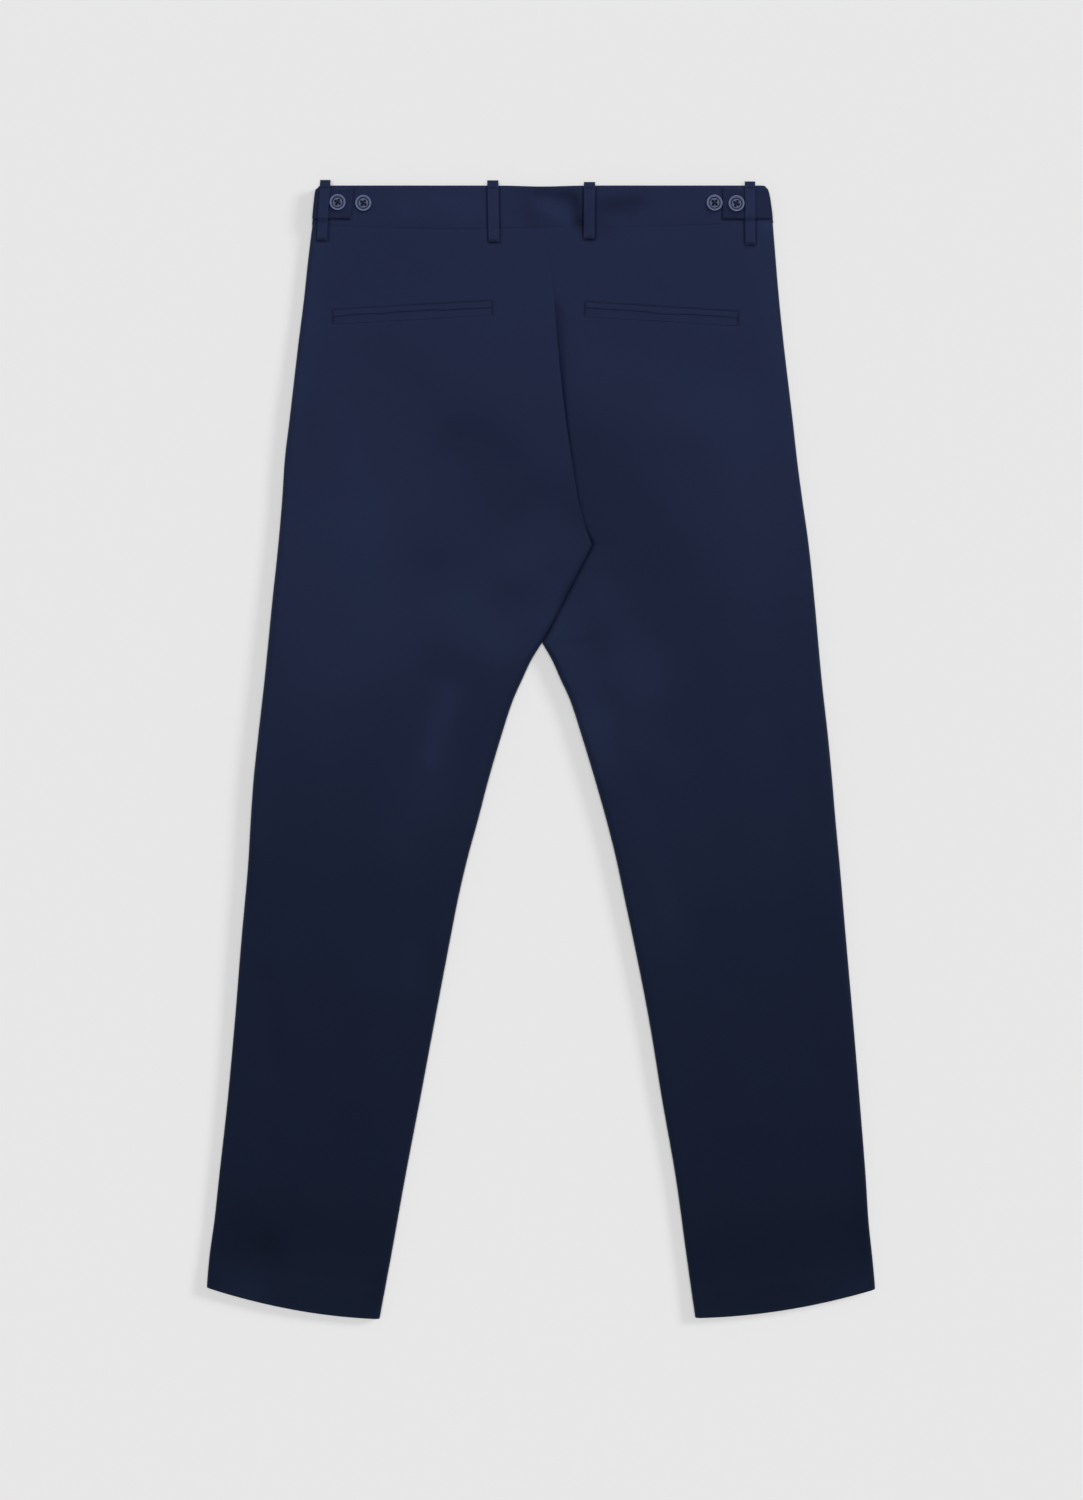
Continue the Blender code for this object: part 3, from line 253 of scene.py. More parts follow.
# Buttons: place, tilt about the legs' direction, and turn
BUTTONS = table("name x y on_tab tilt turn", [
    ("adjuster_button_left_outer", -190.9, 514.2, True, 0, 14),
    ("adjuster_button_left_inner", -166.9, 513.8, False, 0, 8),
    ("adjuster_button_right_inner", 162.9, 513.9, False, 5, 4),
    ("adjuster_button_right_outer", 183.4, 512.9, True, 3, 18),
])
BUTTON_REST = 0.4
HOLE_OFFSET = 1.65
HOLE_RADIUS = 1.3
# A button's profile, from the edge of its underside to the holes
BUTTON_RINGS = table("radius high", [
    (6, 0), (7, 0.3), (7.45, 0.9), (7.55, 1.6), (7.5, 2.1), (7.3, 2.42), (7, 2.52), (6.7, 2.44),
    (6.45, 2.16), (6.25, 1.86), (5.9, 1.78), (5.6, 1.88), (5.35, 2.02), (5.1, 2.02), (4.9, 1.86),
    (4.65, 1.5), (4.4, 1.3), (4.1, 1.28), (3.7, 1.38), (3.2, 1.44), (2.6, 1.44),
])
# Painted highlight and shade rings on a button's face: their tone is painted above or below the rest
PAINTED_RINGS = table("radius wide tone", [(6.8, 0.85, 2), (5.2, 0.6, -1.1), (3.7, 0.7, 0.8)])

# Back pockets: the two ends of the mouth
POCKETS = table("name side outer_x outer_y inner_x inner_y", [
    ("pocket_left", "left", -195, 406.8, -46.6, 415.4),
    ("pocket_right", "right", 184.7, 405.2, 41.9, 414.2),
])
JET_DEEP = 6.4
# Across each strip from the mouth: its distance, and the shares of its thickness above and below
JET_PROFILE = table("off upper lower", [
    (0, 0.25, 0.35), (0.12, 0.6, 0.7), (0.4, 0.86, 0.9), (0.9, 1, 1), (1.8, 1, 0.98), (3.2, 0.97, 0.92),
    (4.6, 0.93, 0.88), (5.5, 0.86, 0.84), (6.05, 0.66, 0.8), (6.3, 0.42, 0.76), (6.4, 0.2, 0.7),
])

# Where a pocket's mouth gapes, by distance from its outer end
GAPES = table("name a b open", [
    ("pocket_left", 14, 36, 1.05), ("pocket_left", 54, 96, 1.15), ("pocket_left", 112, 122, 0.4),
    ("pocket_right", 8, 48, 1.05), ("pocket_right", 86, 140, 1.15),
])

# Fly zip
ZIP_TOP_Y = 488.0
ZIP_LONG = 165.0
ZIP_LOW = 1.5
ZIP_TEETH = 118


class Line:
    """A smooth line through one column of a table against its falling y, with no overshoot."""

    def __init__(self, rows, column):
        self.ys = np.array([row.y for row in rows], float)
        self.values = np.array([getattr(row, column) for row in rows], float)
        steps = np.diff(self.values) / np.diff(self.ys)
        product = steps[:-1] * steps[1:]
        total = np.where(product > 0, steps[:-1] + steps[1:], 1.0)
        inner = np.where(product > 0, 2 * product / total, 0.0)
        self.slopes = np.concatenate([steps[:1], inner, steps[-1:]])

    def __call__(self, y):
        y = np.asarray(y, float)
        held = np.clip(y, self.ys[-1], self.ys[0])
        i = np.clip(np.searchsorted(-self.ys, -held, side="right") - 1, 0, len(self.ys) - 2)
        span = self.ys[i + 1] - self.ys[i]
        t = (held - self.ys[i]) / span
        start = self.values[i] * (1 + 2 * t) * (1 - t) ** 2 + self.slopes[i] * span * t * (1 - t) ** 2
        end = self.values[i + 1] * t * t * (3 - 2 * t) + self.slopes[i + 1] * span * t * t * (t - 1)
        beyond = np.where(y > self.ys[0], self.slopes[0], self.slopes[-1]) * (y - held)
        return start + end + beyond


def fade(t):
    """Fall smoothly from 1 at t = 0 to 0 at t = 1."""
    return 0.5 + 0.5 * np.cos(np.pi * np.clip(t, 0.0, 1.0))


def window(value, low, high, soft):
    """1 from low to high and 0 outside, with soft ends."""
    return fade((low - value) / soft) * fade((value - high) / soft)


def bell(off, wide):
    """1 where off is 0, falling smoothly on both sides."""
    return np.exp(-(off / wide) ** 2)


def arc(near):
    """Height of a rounded edge: 1 where near is 0, and 0 at the edge, where it is 1."""
    return np.sqrt(np.maximum(1 - np.clip(near, 0, 1) ** 2, 0))


def roll(t, roundness):
    """Rise from 0 at an edge to 1 where its roll ends, as a valley's side or as an ellipse."""
    return np.maximum(1.0 - (1.0 - np.clip(t, 0.0, 1.0)) ** 2, 0.0) ** (1.0 / roundness)


def ripple(t, seed, length):
    """A gentle uneven wave along t, with the given mean length."""
    turn = 2 * np.pi / length
    return (0.5 * np.sin(t * turn + seed) + 0.32 * np.sin(t * turn * 1.73 + 2.1 * seed)
            + 0.24 * np.sin(t * turn * 0.61 + 3.7 * seed))


def fold_height(folds, x, y):
    """Add up soft folds: each is a bell across its line that dies out at its ends."""
    total = 0.0
    for fold in folds:
        along_x, along_y = fold.bx - fold.ax, fold.by - fold.ay
        share = ((x - fold.ax) * along_x + (y - fold.ay) * along_y) / (along_x ** 2 + along_y ** 2)
        share = np.clip(share, 0.0, 1.0)
        off = np.hypot(x - fold.ax - share * along_x, y - fold.ay - share * along_y)
        total = total + fold.high * bell(off, fold.wide)
    return total


def at_y(row, y, top, low):
    """A strap's value at y, which goes evenly from its top end's to its low end's."""
    return top + (low - top) * (row.top_y - y) / (row.top_y - row.low_y)


def quarter_roll(count):
    """How far a roll's points lie from its edge, as shares of its width."""
    return 1 - np.cos(np.linspace(0, np.pi / 2, count))


def crowd(spots, places, marks, extra, wide, count):
    """Pick some of the spots, closer together where their places are near the marks."""
    closeness = 1.0 + extra * sum(bell(places - mark, wide) for mark in marks)
    run = np.concatenate([[0.0], np.cumsum((closeness[1:] + closeness[:-1]) / 2)])
    return np.interp(np.linspace(0, run[-1], count), run, spots)


class Side:
    """The smooth lines that describe the garment's left or right half."""

    def __init__(self, name):
        self.name = name
        self.inward = INWARD[name]
        self.outer_x = Line(SIDES, name)
        self.seam_x = Line(BACK_SEAM, "x")
        self.crease_deep = Line(CREASE, "deep")
        self.crease_wide = Line(CREASE, "wide")
        self.folded_x = Line(FOLDED_EDGE, "x")
        self.leg_x = Line(INSEAMS, name)
        self.outer_high = Line(HEIGHTS, "outer")
        self.middle_high = Line(HEIGHTS, "middle")
        self.ridge_high = Line(HEIGHTS, name + "_ridge")
        self.edge_high = Line(EDGES, name + "_edge")
        self.edge_rim = Line(EDGES, name + "_rim")
        self.edge_round = Line(EDGES, name + "_round")
        self.tuck = Line(EDGES, "tuck")
        self.front_edge = Line(EDGES, "front_edge")

    def top_edge_x(self, y):
        """Where the left leg's edge lies over the right: the centre seam, then the folded edge."""
        return np.where(y >= TIP_Y, self.seam_x(y), self.folded_x(y))

    def inner_x(self, y, back):
        """Where a panel's inner edge is: centre seam or folded edge, then the inside leg."""
        if back:
            above = self.top_edge_x(y) - GAP / 2
            if self.name == "right":
                above = above - self.tuck(y)
        else:
            above = FRONT_SEAM_X - self.inward * GAP / 2
        return np.where(y < FORK_Y, self.leg_x(y), above)

    def from_outer(self, x, y):
        """How far a place is from the outer edge."""
        return self.inward * (x - self.outer_x(y))

    def from_inner(self, x, y, back):
        """How far a place is from the inner edge."""
        return self.inward * (self.inner_x(y, back) - x)

    def back_edge(self, y):
        """Height, width and roundness of the roll at the back panel's inner edge."""
        leg = y < FORK_Y
        ridge = self.ridge_high(y)
        return (np.where(leg, ridge / 2 + GAP / 2, self.edge_high(y)),
                np.where(leg, ridge * RIM_SHARE, self.edge_rim(y)),
                np.where(leg, 2.0, self.edge_round(y)))

    def row_y(self, drop, share, back):
        """Bend a row across the panel: it follows the waist seam above and the hem below."""
        outer = SEAM_OUTER_Y[self.name] + drop * (HEM_OUTER_Y[self.name] - SEAM_OUTER_Y[self.name])
        inner = SEAM_INNER_Y + drop * (HEM_INNER_Y[self.name] - SEAM_INNER_Y)
        bow = (SEAM_BOW[self.name] if back else 0.0) * (1 - drop) ** 6 + HEM_BOW * drop ** 6
        return outer + (inner - outer) * share - bow * 4 * share * (1 - share)

    def back_high(self, x, y):
        """Height of the back panel's outer face."""
        from_outer, from_inner = self.from_outer(x, y), self.from_inner(x, y, True)
        outer, middle, ridge = self.outer_high(y), self.middle_high(y), self.ridge_high(y)
        edge, rim, roundness = self.back_edge(y)
        outer_rim = outer * RIM_SHARE
        high = middle + fold_height(FOLDS, x, y) + fold_height(CREASES, x, y)
        high = high + 0.10 * ripple(x * 0.8 + y * 0.35, 1.3, 74) + 0.08 * ripple(y - 0.3 * x, 4.1, 96)
        high = high + (outer - middle) * fade((from_outer - outer_rim) / OUTER_FADE)
        high = high + (ridge - middle) * fade((from_inner - rim) / INNER_FADE)
        seam = outer / 2 + GAP / 2
        high = seam + (high - seam) * roll(from_outer / outer_rim, 2.0)
        high = edge + (high - edge) * roll(from_inner / rim, roundness)
        if self.name == "left":
            return high
        deep = np.where((y > FORK_Y) & (y < CREASE[0].y), self.crease_deep(y), 0.0)
        return high - deep * bell(x - self.top_edge_x(y), self.crease_wide(y))

    def front_high(self, x, y):
        """Height of the front panel's outer face, which is its underside."""
        outer = self.outer_high(y)
        seam = outer / 2 - GAP / 2
        inner = np.where(y >= FORK_Y, self.front_edge(y), self.ridge_high(y) / 2 - GAP / 2)
        rise = seam * (1 - roll(self.from_outer(x, y) / (outer * RIM_SHARE), 2.0))
        rise = rise + fold_height(FRONT_FOLDS, x, y)
        return rise + inner * (1 - roll(self.from_inner(x, y, False) / FRONT_RIM, 2.0))

    def column_x(self, columns, y, back):
        """Place a wall's columns: on the outer roll, between the rolls, and on the inner roll."""
        kinds, values = columns
        outer, inner = self.outer_x(y), self.inner_x(y, back)
        outer_rim = self.inward * self.outer_high(y) * RIM_SHARE
        inner_rim = self.inward * (self.back_edge(y)[1] if back else FRONT_RIM)
        start = outer + outer_rim
        between = start + (inner - inner_rim - start) * values
        turned = 1 - np.cos(values)
        return np.where(kinds == 0, outer + outer_rim * turned,
                        np.where(kinds == 2, inner - inner_rim * turned, between))

    def spread(self, drops, columns, back):
        """Work out the grid of points on a wall's outer face."""
        y = self.row_y(drops, 0.5, back) + 0.0 * columns[1]
        for _ in range(4):
            x = self.column_x(columns, y, back)
            outer = self.outer_x(y)
            y = self.row_y(drops, (x - outer) / (self.inner_x(y, back) - outer), back)
        x = self.column_x(columns, y, back)
        high = self.back_high(x, y) if back else self.front_high(x, y)
        return np.stack([x, y, high], axis=2)


def columns_of(outer, middle, inner):
    """List a wall's columns from its outer edge to its inner edge, as kinds and values."""
    kinds = np.array([0] * outer + [1] * len(middle) + [2] * inner)
    values = np.concatenate([np.linspace(0, np.pi / 2, outer), middle, np.linspace(np.pi / 2, 0, inner)])
    return kinds, values


def back_columns(side):
    """Space a back's middle columns: close together in line with the belt loops' edges."""
    y = np.array(480.0)
    start = float(side.outer_x(y)) + side.inward * float(side.outer_high(y)) * RIM_SHARE
    stop = float(side.inner_x(y, True)) - side.inward * float(side.back_edge(y)[1])
    shares = np.linspace(0, 1, 2001)
    marks = [row.low_x + edge * row.wide / 2 for row in BELT_LOOPS for edge in (-1, 1)]
    return crowd(shares, start + (stop - start) * shares, marks, 3.6, 2.8, 104)[1:-1]


def unit(vectors):
    """Give vectors a length of 1."""
    return vectors / (np.linalg.norm(vectors, axis=-1, keepdims=True) + 1e-12)


def outward(grid, up):
    """Work out the unit normals of a grid of points, on the side given by up."""
    normals = unit(np.cross(np.gradient(grid, axis=0), np.gradient(grid, axis=1)))
    flip = np.sign(normals[:, normals.shape[1] // 2, 2]) * up
    return normals * flip[:, None, None]


def new_piece(name, corners, faces):
    """Make a smooth object at the origin from corners in metres and faces."""
    mesh = bpy.data.meshes.new(name)
    mesh.from_pydata(corners, [], faces)
    mesh.shade_smooth()
    thing = bpy.data.objects.new(name, mesh)
    bpy.context.collection.objects.link(thing)
    return thing


def closed_wall(name, outside, inside, wear=0.0):
    """Join an outer and an inner grid of points, in millimetres, into one closed wall of cloth."""
    rows, across = outside.shape[:2]
    count = rows * across
    corners = np.concatenate([outside.reshape(-1, 3), inside.reshape(-1, 3)]) * MM
    index = np.arange(count).reshape(rows, across)
    quads = np.stack([index[:-1, :-1], index[:-1, 1:], index[1:, 1:], index[1:, :-1]], axis=2).reshape(-1, 4)
    border = np.concatenate([index[0], index[1:, -1], index[-1, -2::-1], index[-2:0:-1, 0]])
    after = np.roll(border, -1)
    rim = np.stack([border, after, after + count, border + count], axis=1)
    thing = new_piece(name, corners.tolist(), np.concatenate([quads, quads + count, rim]).tolist())
    mesh = thing.data
    shape = bmesh.new()
    shape.from_mesh(mesh)
    bmesh.ops.recalc_face_normals(shape, faces=shape.faces)
    shape.to_mesh(mesh)
    shape.free()

    steps = np.linalg.norm(np.diff(outside, axis=1), axis=2)
    run = np.concatenate([np.zeros((rows, 1)), np.cumsum(steps, axis=1)], axis=1)
    run -= run[:, across // 2][:, None]
    falls = np.linalg.norm(np.diff(outside[:, across // 2], axis=0), axis=1)
    fall = np.concatenate([[0.0], np.cumsum(falls)])
    flat = np.stack([run, np.broadcast_to(-fall[:, None], run.shape)], axis=2).reshape(-1, 2) * MM
    loops = np.zeros(len(mesh.loops), np.int32)
    mesh.loops.foreach_get("vertex_index", loops)
    layer = mesh.uv_layers.new(name="Cloth")
    layer.uv.foreach_set("vector", np.tile(flat, (2, 1))[loops].astype(np.float32).ravel())
    # The edges' wearing together with the painted light and shade, which tone the twill
    values = mesh.attributes.new("Wear", "FLOAT", "POINT")
    worn_and_shaded = np.broadcast_to(wear, (rows, across)).reshape(-1)
    values.data.foreach_set("value", np.tile(worn_and_shaded, 2).astype(np.float32))
    mesh.set_sharp_from_angle(angle=math.radians(55))
    return thing


def settle(thing, node, finish_name):
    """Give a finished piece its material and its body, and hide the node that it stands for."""
    thing.data.materials.clear()
    thing.data.materials.append(material(finish_name))
    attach(thing, "root")
    if node:
        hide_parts(node)
    return thing


def lay(thing, node, rests_on):
    """Finish a piece of the cloth with the twill."""
    settle(thing, node, "twill")
    return thing


def pocket_line(row):
    """Length of a pocket's mouth, and its direction from the outer end."""
    long = math.hypot(row.inner_x - row.outer_x, row.inner_y - row.outer_y)
    return long, (row.inner_x - row.outer_x) / long, (row.inner_y - row.outer_y) / long


def seam_line(x):
    """Depth of the soft line at the waistband's seam."""
    return 0.02 + sum(row.deep * window(x, row.a + 4, row.b - 4, 9.0) for row in SEAM_LINES)


def beside_straps(x, y):
    """Depth of the dents that the belt loops and tabs press in the cloth beside them."""
    deep = 0.0
    for row in BELT_LOOPS:
        off = abs(x - at_y(row, y, row.top_x, row.low_x)) - row.wide / 2
        dent = bell(off - 0.7, 0.85) * (1 - fade((y - row.low_y + 1.5) / 1.5))
        low_dent = bell(row.low_y - y - 0.7, 0.85) * fade(off / 1.5)
        deep = deep + 0.75 * np.maximum(dent, low_dent)
    for row in TABS:
        past = INWARD[row.side] * (x - at_y(row, y, row.end_top, row.end_low))
        end_dent = bell(past - 0.6, 0.9) * window(y, row.low_y, row.top_y, 1.5)
        low_dent = bell(row.low_y - y - 0.7, 0.9) * fade(past / 1.5)
        deep = deep + 0.8 * np.maximum(end_dent, low_dent)
    return deep


def pocket_relief(side, x, y, recess):
    """Relief round a back pocket: the recess of its strips, the line above it and small puckers."""
    row = POCKETS[0 if side.name == "left" else 1]
    long, unit_x, unit_y = pocket_line(row)
    along = (x - row.outer_x) * unit_x + (y - row.outer_y) * unit_y
    across = (y - row.outer_y) * abs(unit_x) - (x - row.outer_x) * unit_y * math.copysign(1.0, unit_x)
    inside = np.minimum(np.minimum(along + 0.5, long + 0.5 - along), JET_DEEP + 0.8 - across)
    inside = np.minimum(inside, JET_DEEP + 0.3 + across)
    above_line = bell(across - JET_DEEP - 0.5, 0.8) * window(along, 0.0, long, 2.0)
    fainter = 0.5 * fade((along - 10) / 70) if side.name == "left" else 0.0
    near = bell(abs(across) - JET_DEEP - 3.0, 2.6) * window(along, 0.0, long, 10)
    return (0.10 * near * (1 + ripple(along, 2.2, 21)) - recess * (1 - fade(inside / 1.3 + 0.3))
            - 0.45 * above_line * (0.8 + 0.5 * ripple(along, 1.7, 90) - fainter))


def back_detail(side, grid, sizes):
    """Fine relief of a back and its tone from wearing and from painted light and shade: waist seam, pocket,
    hem ridge and seam puckers.
    """
    x, y = grid[:, :, 0], grid[:, :, 1]
    from_top = grid[0, :, 1][None, :] - y
    from_hem = y - grid[-1, :, 1][None, :]
    from_outer, from_inner = side.from_outer(x, y), side.from_inner(x, y, True)
    leg = y < FORK_Y
    dents = beside_straps(x, y) * (y > STRAPS_END_Y)
    pucker = sizes.seam_pucker / MM
    in_band = fade((from_hem - HEM_BAND_DEEP + 5.0) / 12.0)
    rise = np.clip(1 - from_hem / HEM_BAND_DEEP, 0.0, 1.0)
    relief = -seam_line(x) * bell(from_top, 1.6) - dents
    relief = relief + pocket_relief(side, x, y, sizes.pocket_recess / MM)
    relief = relief + sizes.hem_ridge / MM * in_band + 0.9 * rise * (0.5 + 0.5 * bell(from_outer, 55))
    relief = relief - 0.05 * bell(from_hem - HEM_BAND_DEEP, 3.0) * (1 + ripple(x, 0.7, 17))
    start = 1.9 if side.name == "left" else 5.3
    relief = relief + pucker * bell(from_outer - 6.5, 4.2) * ripple(y, start, 19)
    relief = relief + 0.6 * pucker * bell(from_inner - 6.0, 4.0) * leg * ripple(y, 3.1, 23)
    relief = relief - (1 - arc(1 - from_hem / 1.3))
    worn_and_shaded = np.exp(-from_hem / 1.6) + 0.7 * np.exp(-from_outer / 1.8)
    worn_and_shaded = worn_and_shaded + 0.7 * np.exp(-from_inner / 1.8) * leg + 0.05 * in_band
    # Painted light and shade: the painted patches, and painted shade in the dents beside the belt loops and
    # tabs
    return relief, np.clip(worn_and_shaded, 0, 1) + fold_height(PAINTED_LIGHT_AND_SHADE, x, y) - 1.6 * dents


def drops_of(spans, side):
    """Space a panel's rows: spans of y and their spacing, as shares of the leg's length."""
    ys = [SEAM_INNER_Y]
    for low, step in spans:
        count = max(1, round((ys[-1] - low) / step))
        ys += list(np.linspace(ys[-1], low, count + 1)[1:])
    drops = (SEAM_INNER_Y - np.array(ys)) / (SEAM_INNER_Y - HEM_INNER_Y[side.name])
    drops[-1] = 1.0
    return drops[:, None]


def make_panel(side, sizes, back):
    """Make one leg's back, or its front, which lies on the surface, with the hem turned up inside."""
    end = HEM_INNER_Y[side.name]
    band = end + HEM_BAND_DEEP
    if back:
        spans = [(472, 0.8), (424, 3.0), (396, 0.7), (196, 3.4), (98, 1.7), (band + 10, 5.0),
                 (band - 4, 1.4), (end + 2, 2.4), (end, 0.4)]
        columns = columns_of(11, back_columns(side), 28)
    else:
        spans = [(484, 1.5), (150, 6.0), (90, 3.0), (band + 4, 7.0), (band - 4, 1.0), (end + 2, 4.0),
                 (end, 0.5)]
        columns = columns_of(9, np.linspace(0, 1, 40)[1:-1], 9)
    up = 1.0 if back else -1.0
    grid = side.spread(drops_of(spans, side), columns, back)
    y = grid[:, -1, 1]
    turned = side.back_edge(y)[2] - 1.0 if back else np.minimum(side.front_edge(y) / 6.0, 1.0)
    lean = np.where(y < FORK_Y, 1.0, turned) * np.pi / 2
    normals = outward(grid, up)
    normals[:, 0] = (-side.inward, 0.0, 0.0)
    normals[:, -1] = np.stack([side.inward * np.sin(lean), 0 * lean, up * np.cos(lean)], axis=1)
    normals[[0, -1], :, 1] = 0.0
    from_hem = grid[:, :, 1] - grid[-1, :, 1][None, :]
    cloth = sizes.cloth + (sizes.hem_cloth - sizes.cloth) * fade((from_hem - HEM_BAND_DEEP + 1) / 2)
    inside = grid - unit(normals) * cloth[:, :, None] / MM
    if back:
        relief, worn_and_shaded = back_detail(side, grid, sizes)
        grid[:, :, 2] += relief
    else:
        from_outer = side.from_outer(grid[:, :, 0], grid[:, :, 1])
        worn_and_shaded = np.clip(np.exp(-from_hem / 1.6) + 0.7 * np.exp(-from_outer / 1.8), 0, 1)
    return closed_wall(("back_" if back else "front_") + side.name + "_cloth", grid, inside, worn_and_shaded)


def band_ends(depth):
    """X of the waistband's left and right ends, at a depth under its top edge."""
    return {name: float(Line(BAND_SIDES, name)(-depth)) for name in INWARD}


def seam_y(x, sides, back):
    """Y of the seam under the waistband, shared with the panels' top edges."""
    found = [side.row_y(0.0, np.clip(1 - x / side.outer_x(SEAM_OUTER_Y[side.name]), 0.0, 1.0), back)
             for side in sides]
    return np.where(x < 0, found[0], found[1])


def band_y(x, depth, sides, back):
    """Y at a depth under the waistband's sagging top edge, so that the last row meets the seam."""
    top = BAND_TOP - BAND_DIP * bell(x - 2.0, BAND_DIP_WIDE)
    return top + (seam_y(x, sides, back) + GAP / 2 - top) * depth / BAND_DEEP


def band_depths(fine):
    """List the waistband's rows: close together at its folded top edge and at its seam."""
    top = [0.0, 0.12, 0.3, 0.6, 1.0, 1.5, 2.4]
    return np.array(top + list(np.linspace(3.6, BAND_DEEP - 3.6, fine)) +
                    [BAND_DEEP - gap for gap in (2.4, 1.5, 0.8, 0.3, 0.0)])


def band_columns(start, stop):
    """Space the back waistband's columns: close together beside the belt loops and the tabs' ends."""
    marks = [row.top_x + edge * row.wide / 2 for row in BELT_LOOPS for edge in (-1, 1)]
    marks += [(row.end_top + row.end_low) / 2 for row in TABS]
    spots = np.linspace(-214, 216, 4301)
    places = crowd(spots, spots, marks, 4.0, 2.6, 300)
    return start + (stop - start) * (places[1:-1] - places[0]) / (places[-1] - places[0])


def edge_drop(depth):
    """How far the waistband's faces turn in at its folded top edge."""
    return 0.62 * (1 - arc(1 - depth / 1.5))


def band_wall(name, rows, depths, up, ends, cloth):
    """Close a waistband piece from the rows of its outer face."""
    grid = np.array(rows)
    normals = outward(grid, up)
    normals[:, :, 1] = 0.0
    normals[:, 0], normals[:, -1] = ends
    worn_and_shaded = np.exp(-depths / 1.1)[:, None]
    if up > 0:
        x, y = grid[:, :, 0], grid[:, :, 1]
        # Painted light and shade on the back waistband: the painted patches, and painted shade in the dents
        # beside the belt loops and tabs
        worn_and_shaded = worn_and_shaded + fold_height(PAINTED_LIGHT_AND_SHADE, x, y) - 1.6 * beside_straps(x, y)
    return closed_wall(name, grid, grid - unit(normals) * cloth[:, None, None], worn_and_shaded)


def make_band_back(sides, sizes):
    """Make the back of the waistband, with its folded top edge and its side rolls."""
    depths = band_depths(26)
    rims = BAND_RIM * quarter_roll(10)
    seam = BAND_HIGH / 2 + GAP / 2
    rows = []
    for depth in depths:
        left, right = band_ends(depth).values()
        middle = band_columns(left + BAND_RIM, right - BAND_RIM)
        xs = np.concatenate([left + rims, middle, (right - rims)[::-1]])
        y = band_y(xs, depth, sides, True)
        share = roll(np.minimum(xs - left, right - xs) / BAND_RIM, 2.0)
        high = BAND_HIGH + fold_height(FOLDS, xs, y) + fold_height(CREASES, xs, y)
        high = high + 0.10 * ripple(xs, 2.7, 61) * np.sin(np.pi * depth / BAND_DEEP)
        high = high - edge_drop(depth) - beside_straps(xs, y)
        high = high - seam_line(xs) * np.clip(1 - (BAND_DEEP - depth) / 2.0, 0, 1) ** 2
        high = high - 0.45 * fade((BAND_DEEP - depth) / 9.0)
        rows.append(np.stack([xs, y, seam + (high - seam) * share], axis=1))
    return band_wall("waistband_back_cloth", rows, depths, 1.0, ((-1.0, 0.0, 0.0), (1.0, 0.0, 0.0)),
                     sizes.band_cloth / MM - edge_drop(depths) * 1.5)


def front_lift(x, side_name):
    """Lift of a front waistband end: over the belt loop and, on the right, over the left end."""
    near, far = FRONT_LOOP_RAMP
    lift = FRONT_LOOP_LIFT * fade((abs(abs(x) - FRONT_LOOP_X) - near) / (far - near))
    if side_name == "right":
        low, high = LAP_RAMP
        lift = lift + LAP_LIFT * fade((x - low) / (high - low))
    return lift


def make_band_front(side, sides, sizes):
    """Make one front end of the waistband, flat on the surface but where it laps or crosses a loop."""
    depths = band_depths(12)
    rims = BAND_RIM * quarter_roll(9)
    seam = BAND_HIGH / 2 - GAP / 2
    rows = []
    for depth in depths:
        end = band_ends(depth)[side.name]
        flat = np.linspace(end + side.inward * BAND_RIM, LAP_ENDS[side.name], 92)[1:]
        xs = np.concatenate([end + side.inward * rims, flat])
        rise = seam * (1 - roll(side.inward * (xs - end) / BAND_RIM, 2.0))
        rise = rise + front_lift(xs, side.name) + edge_drop(depth) * 0.6 * (abs(xs - end) > 1.0)
        rows.append(np.stack([xs, band_y(xs, depth, sides, False), rise], axis=1))
    return band_wall("waistband_front_" + side.name + "_cloth", rows, depths, -1.0,
                     ((-side.inward, 0.0, 0.0), (0.0, 0.0, -1.0)),
                     sizes.band_cloth / MM - 0.2 - edge_drop(depths) * 1.3)


class Surface:
    """The upper faces of some pieces, to lay other pieces on."""

    def __init__(self, things):
        graph = bpy.context.evaluated_depsgraph_get()
        self.trees = [BVHTree.FromObject(thing, graph) for thing in things]

    def high(self, x, y):
        """Height of the top face under one place, in millimetres."""
        start, down = Vector((x * MM, y * MM, 0.1)), Vector((0, 0, -1))
        hits = [tree.ray_cast(start, down)[0] for tree in self.trees]
        found = [hit.z / MM for hit in hits if hit]
        if not found:
            raise ValueError("nothing lies under %.1f, %.1f" % (x, y))
        return max(found)


def smooth(values, times):
    """Even out a row of heights, keeping its ends."""
    for _ in range(times):
        values = np.concatenate([values[:1], (values[:-2] + 2 * values[1:-1] + values[2:]) / 4, values[-1:]])
    return values


def strap_cloth(off, half, edge, cloth):
    """Thickness across a strap, which rounds off within edge of its sides."""
    return cloth * (0.45 + 0.55 * arc(1 - (half - abs(off)) / edge))


def mirrored(half_shares):
    """Spread shares from 0 to 1 over both sides of a strap's middle."""
    half_shares = np.array(half_shares)
    return np.concatenate([-half_shares[::-1], half_shares[1:]])


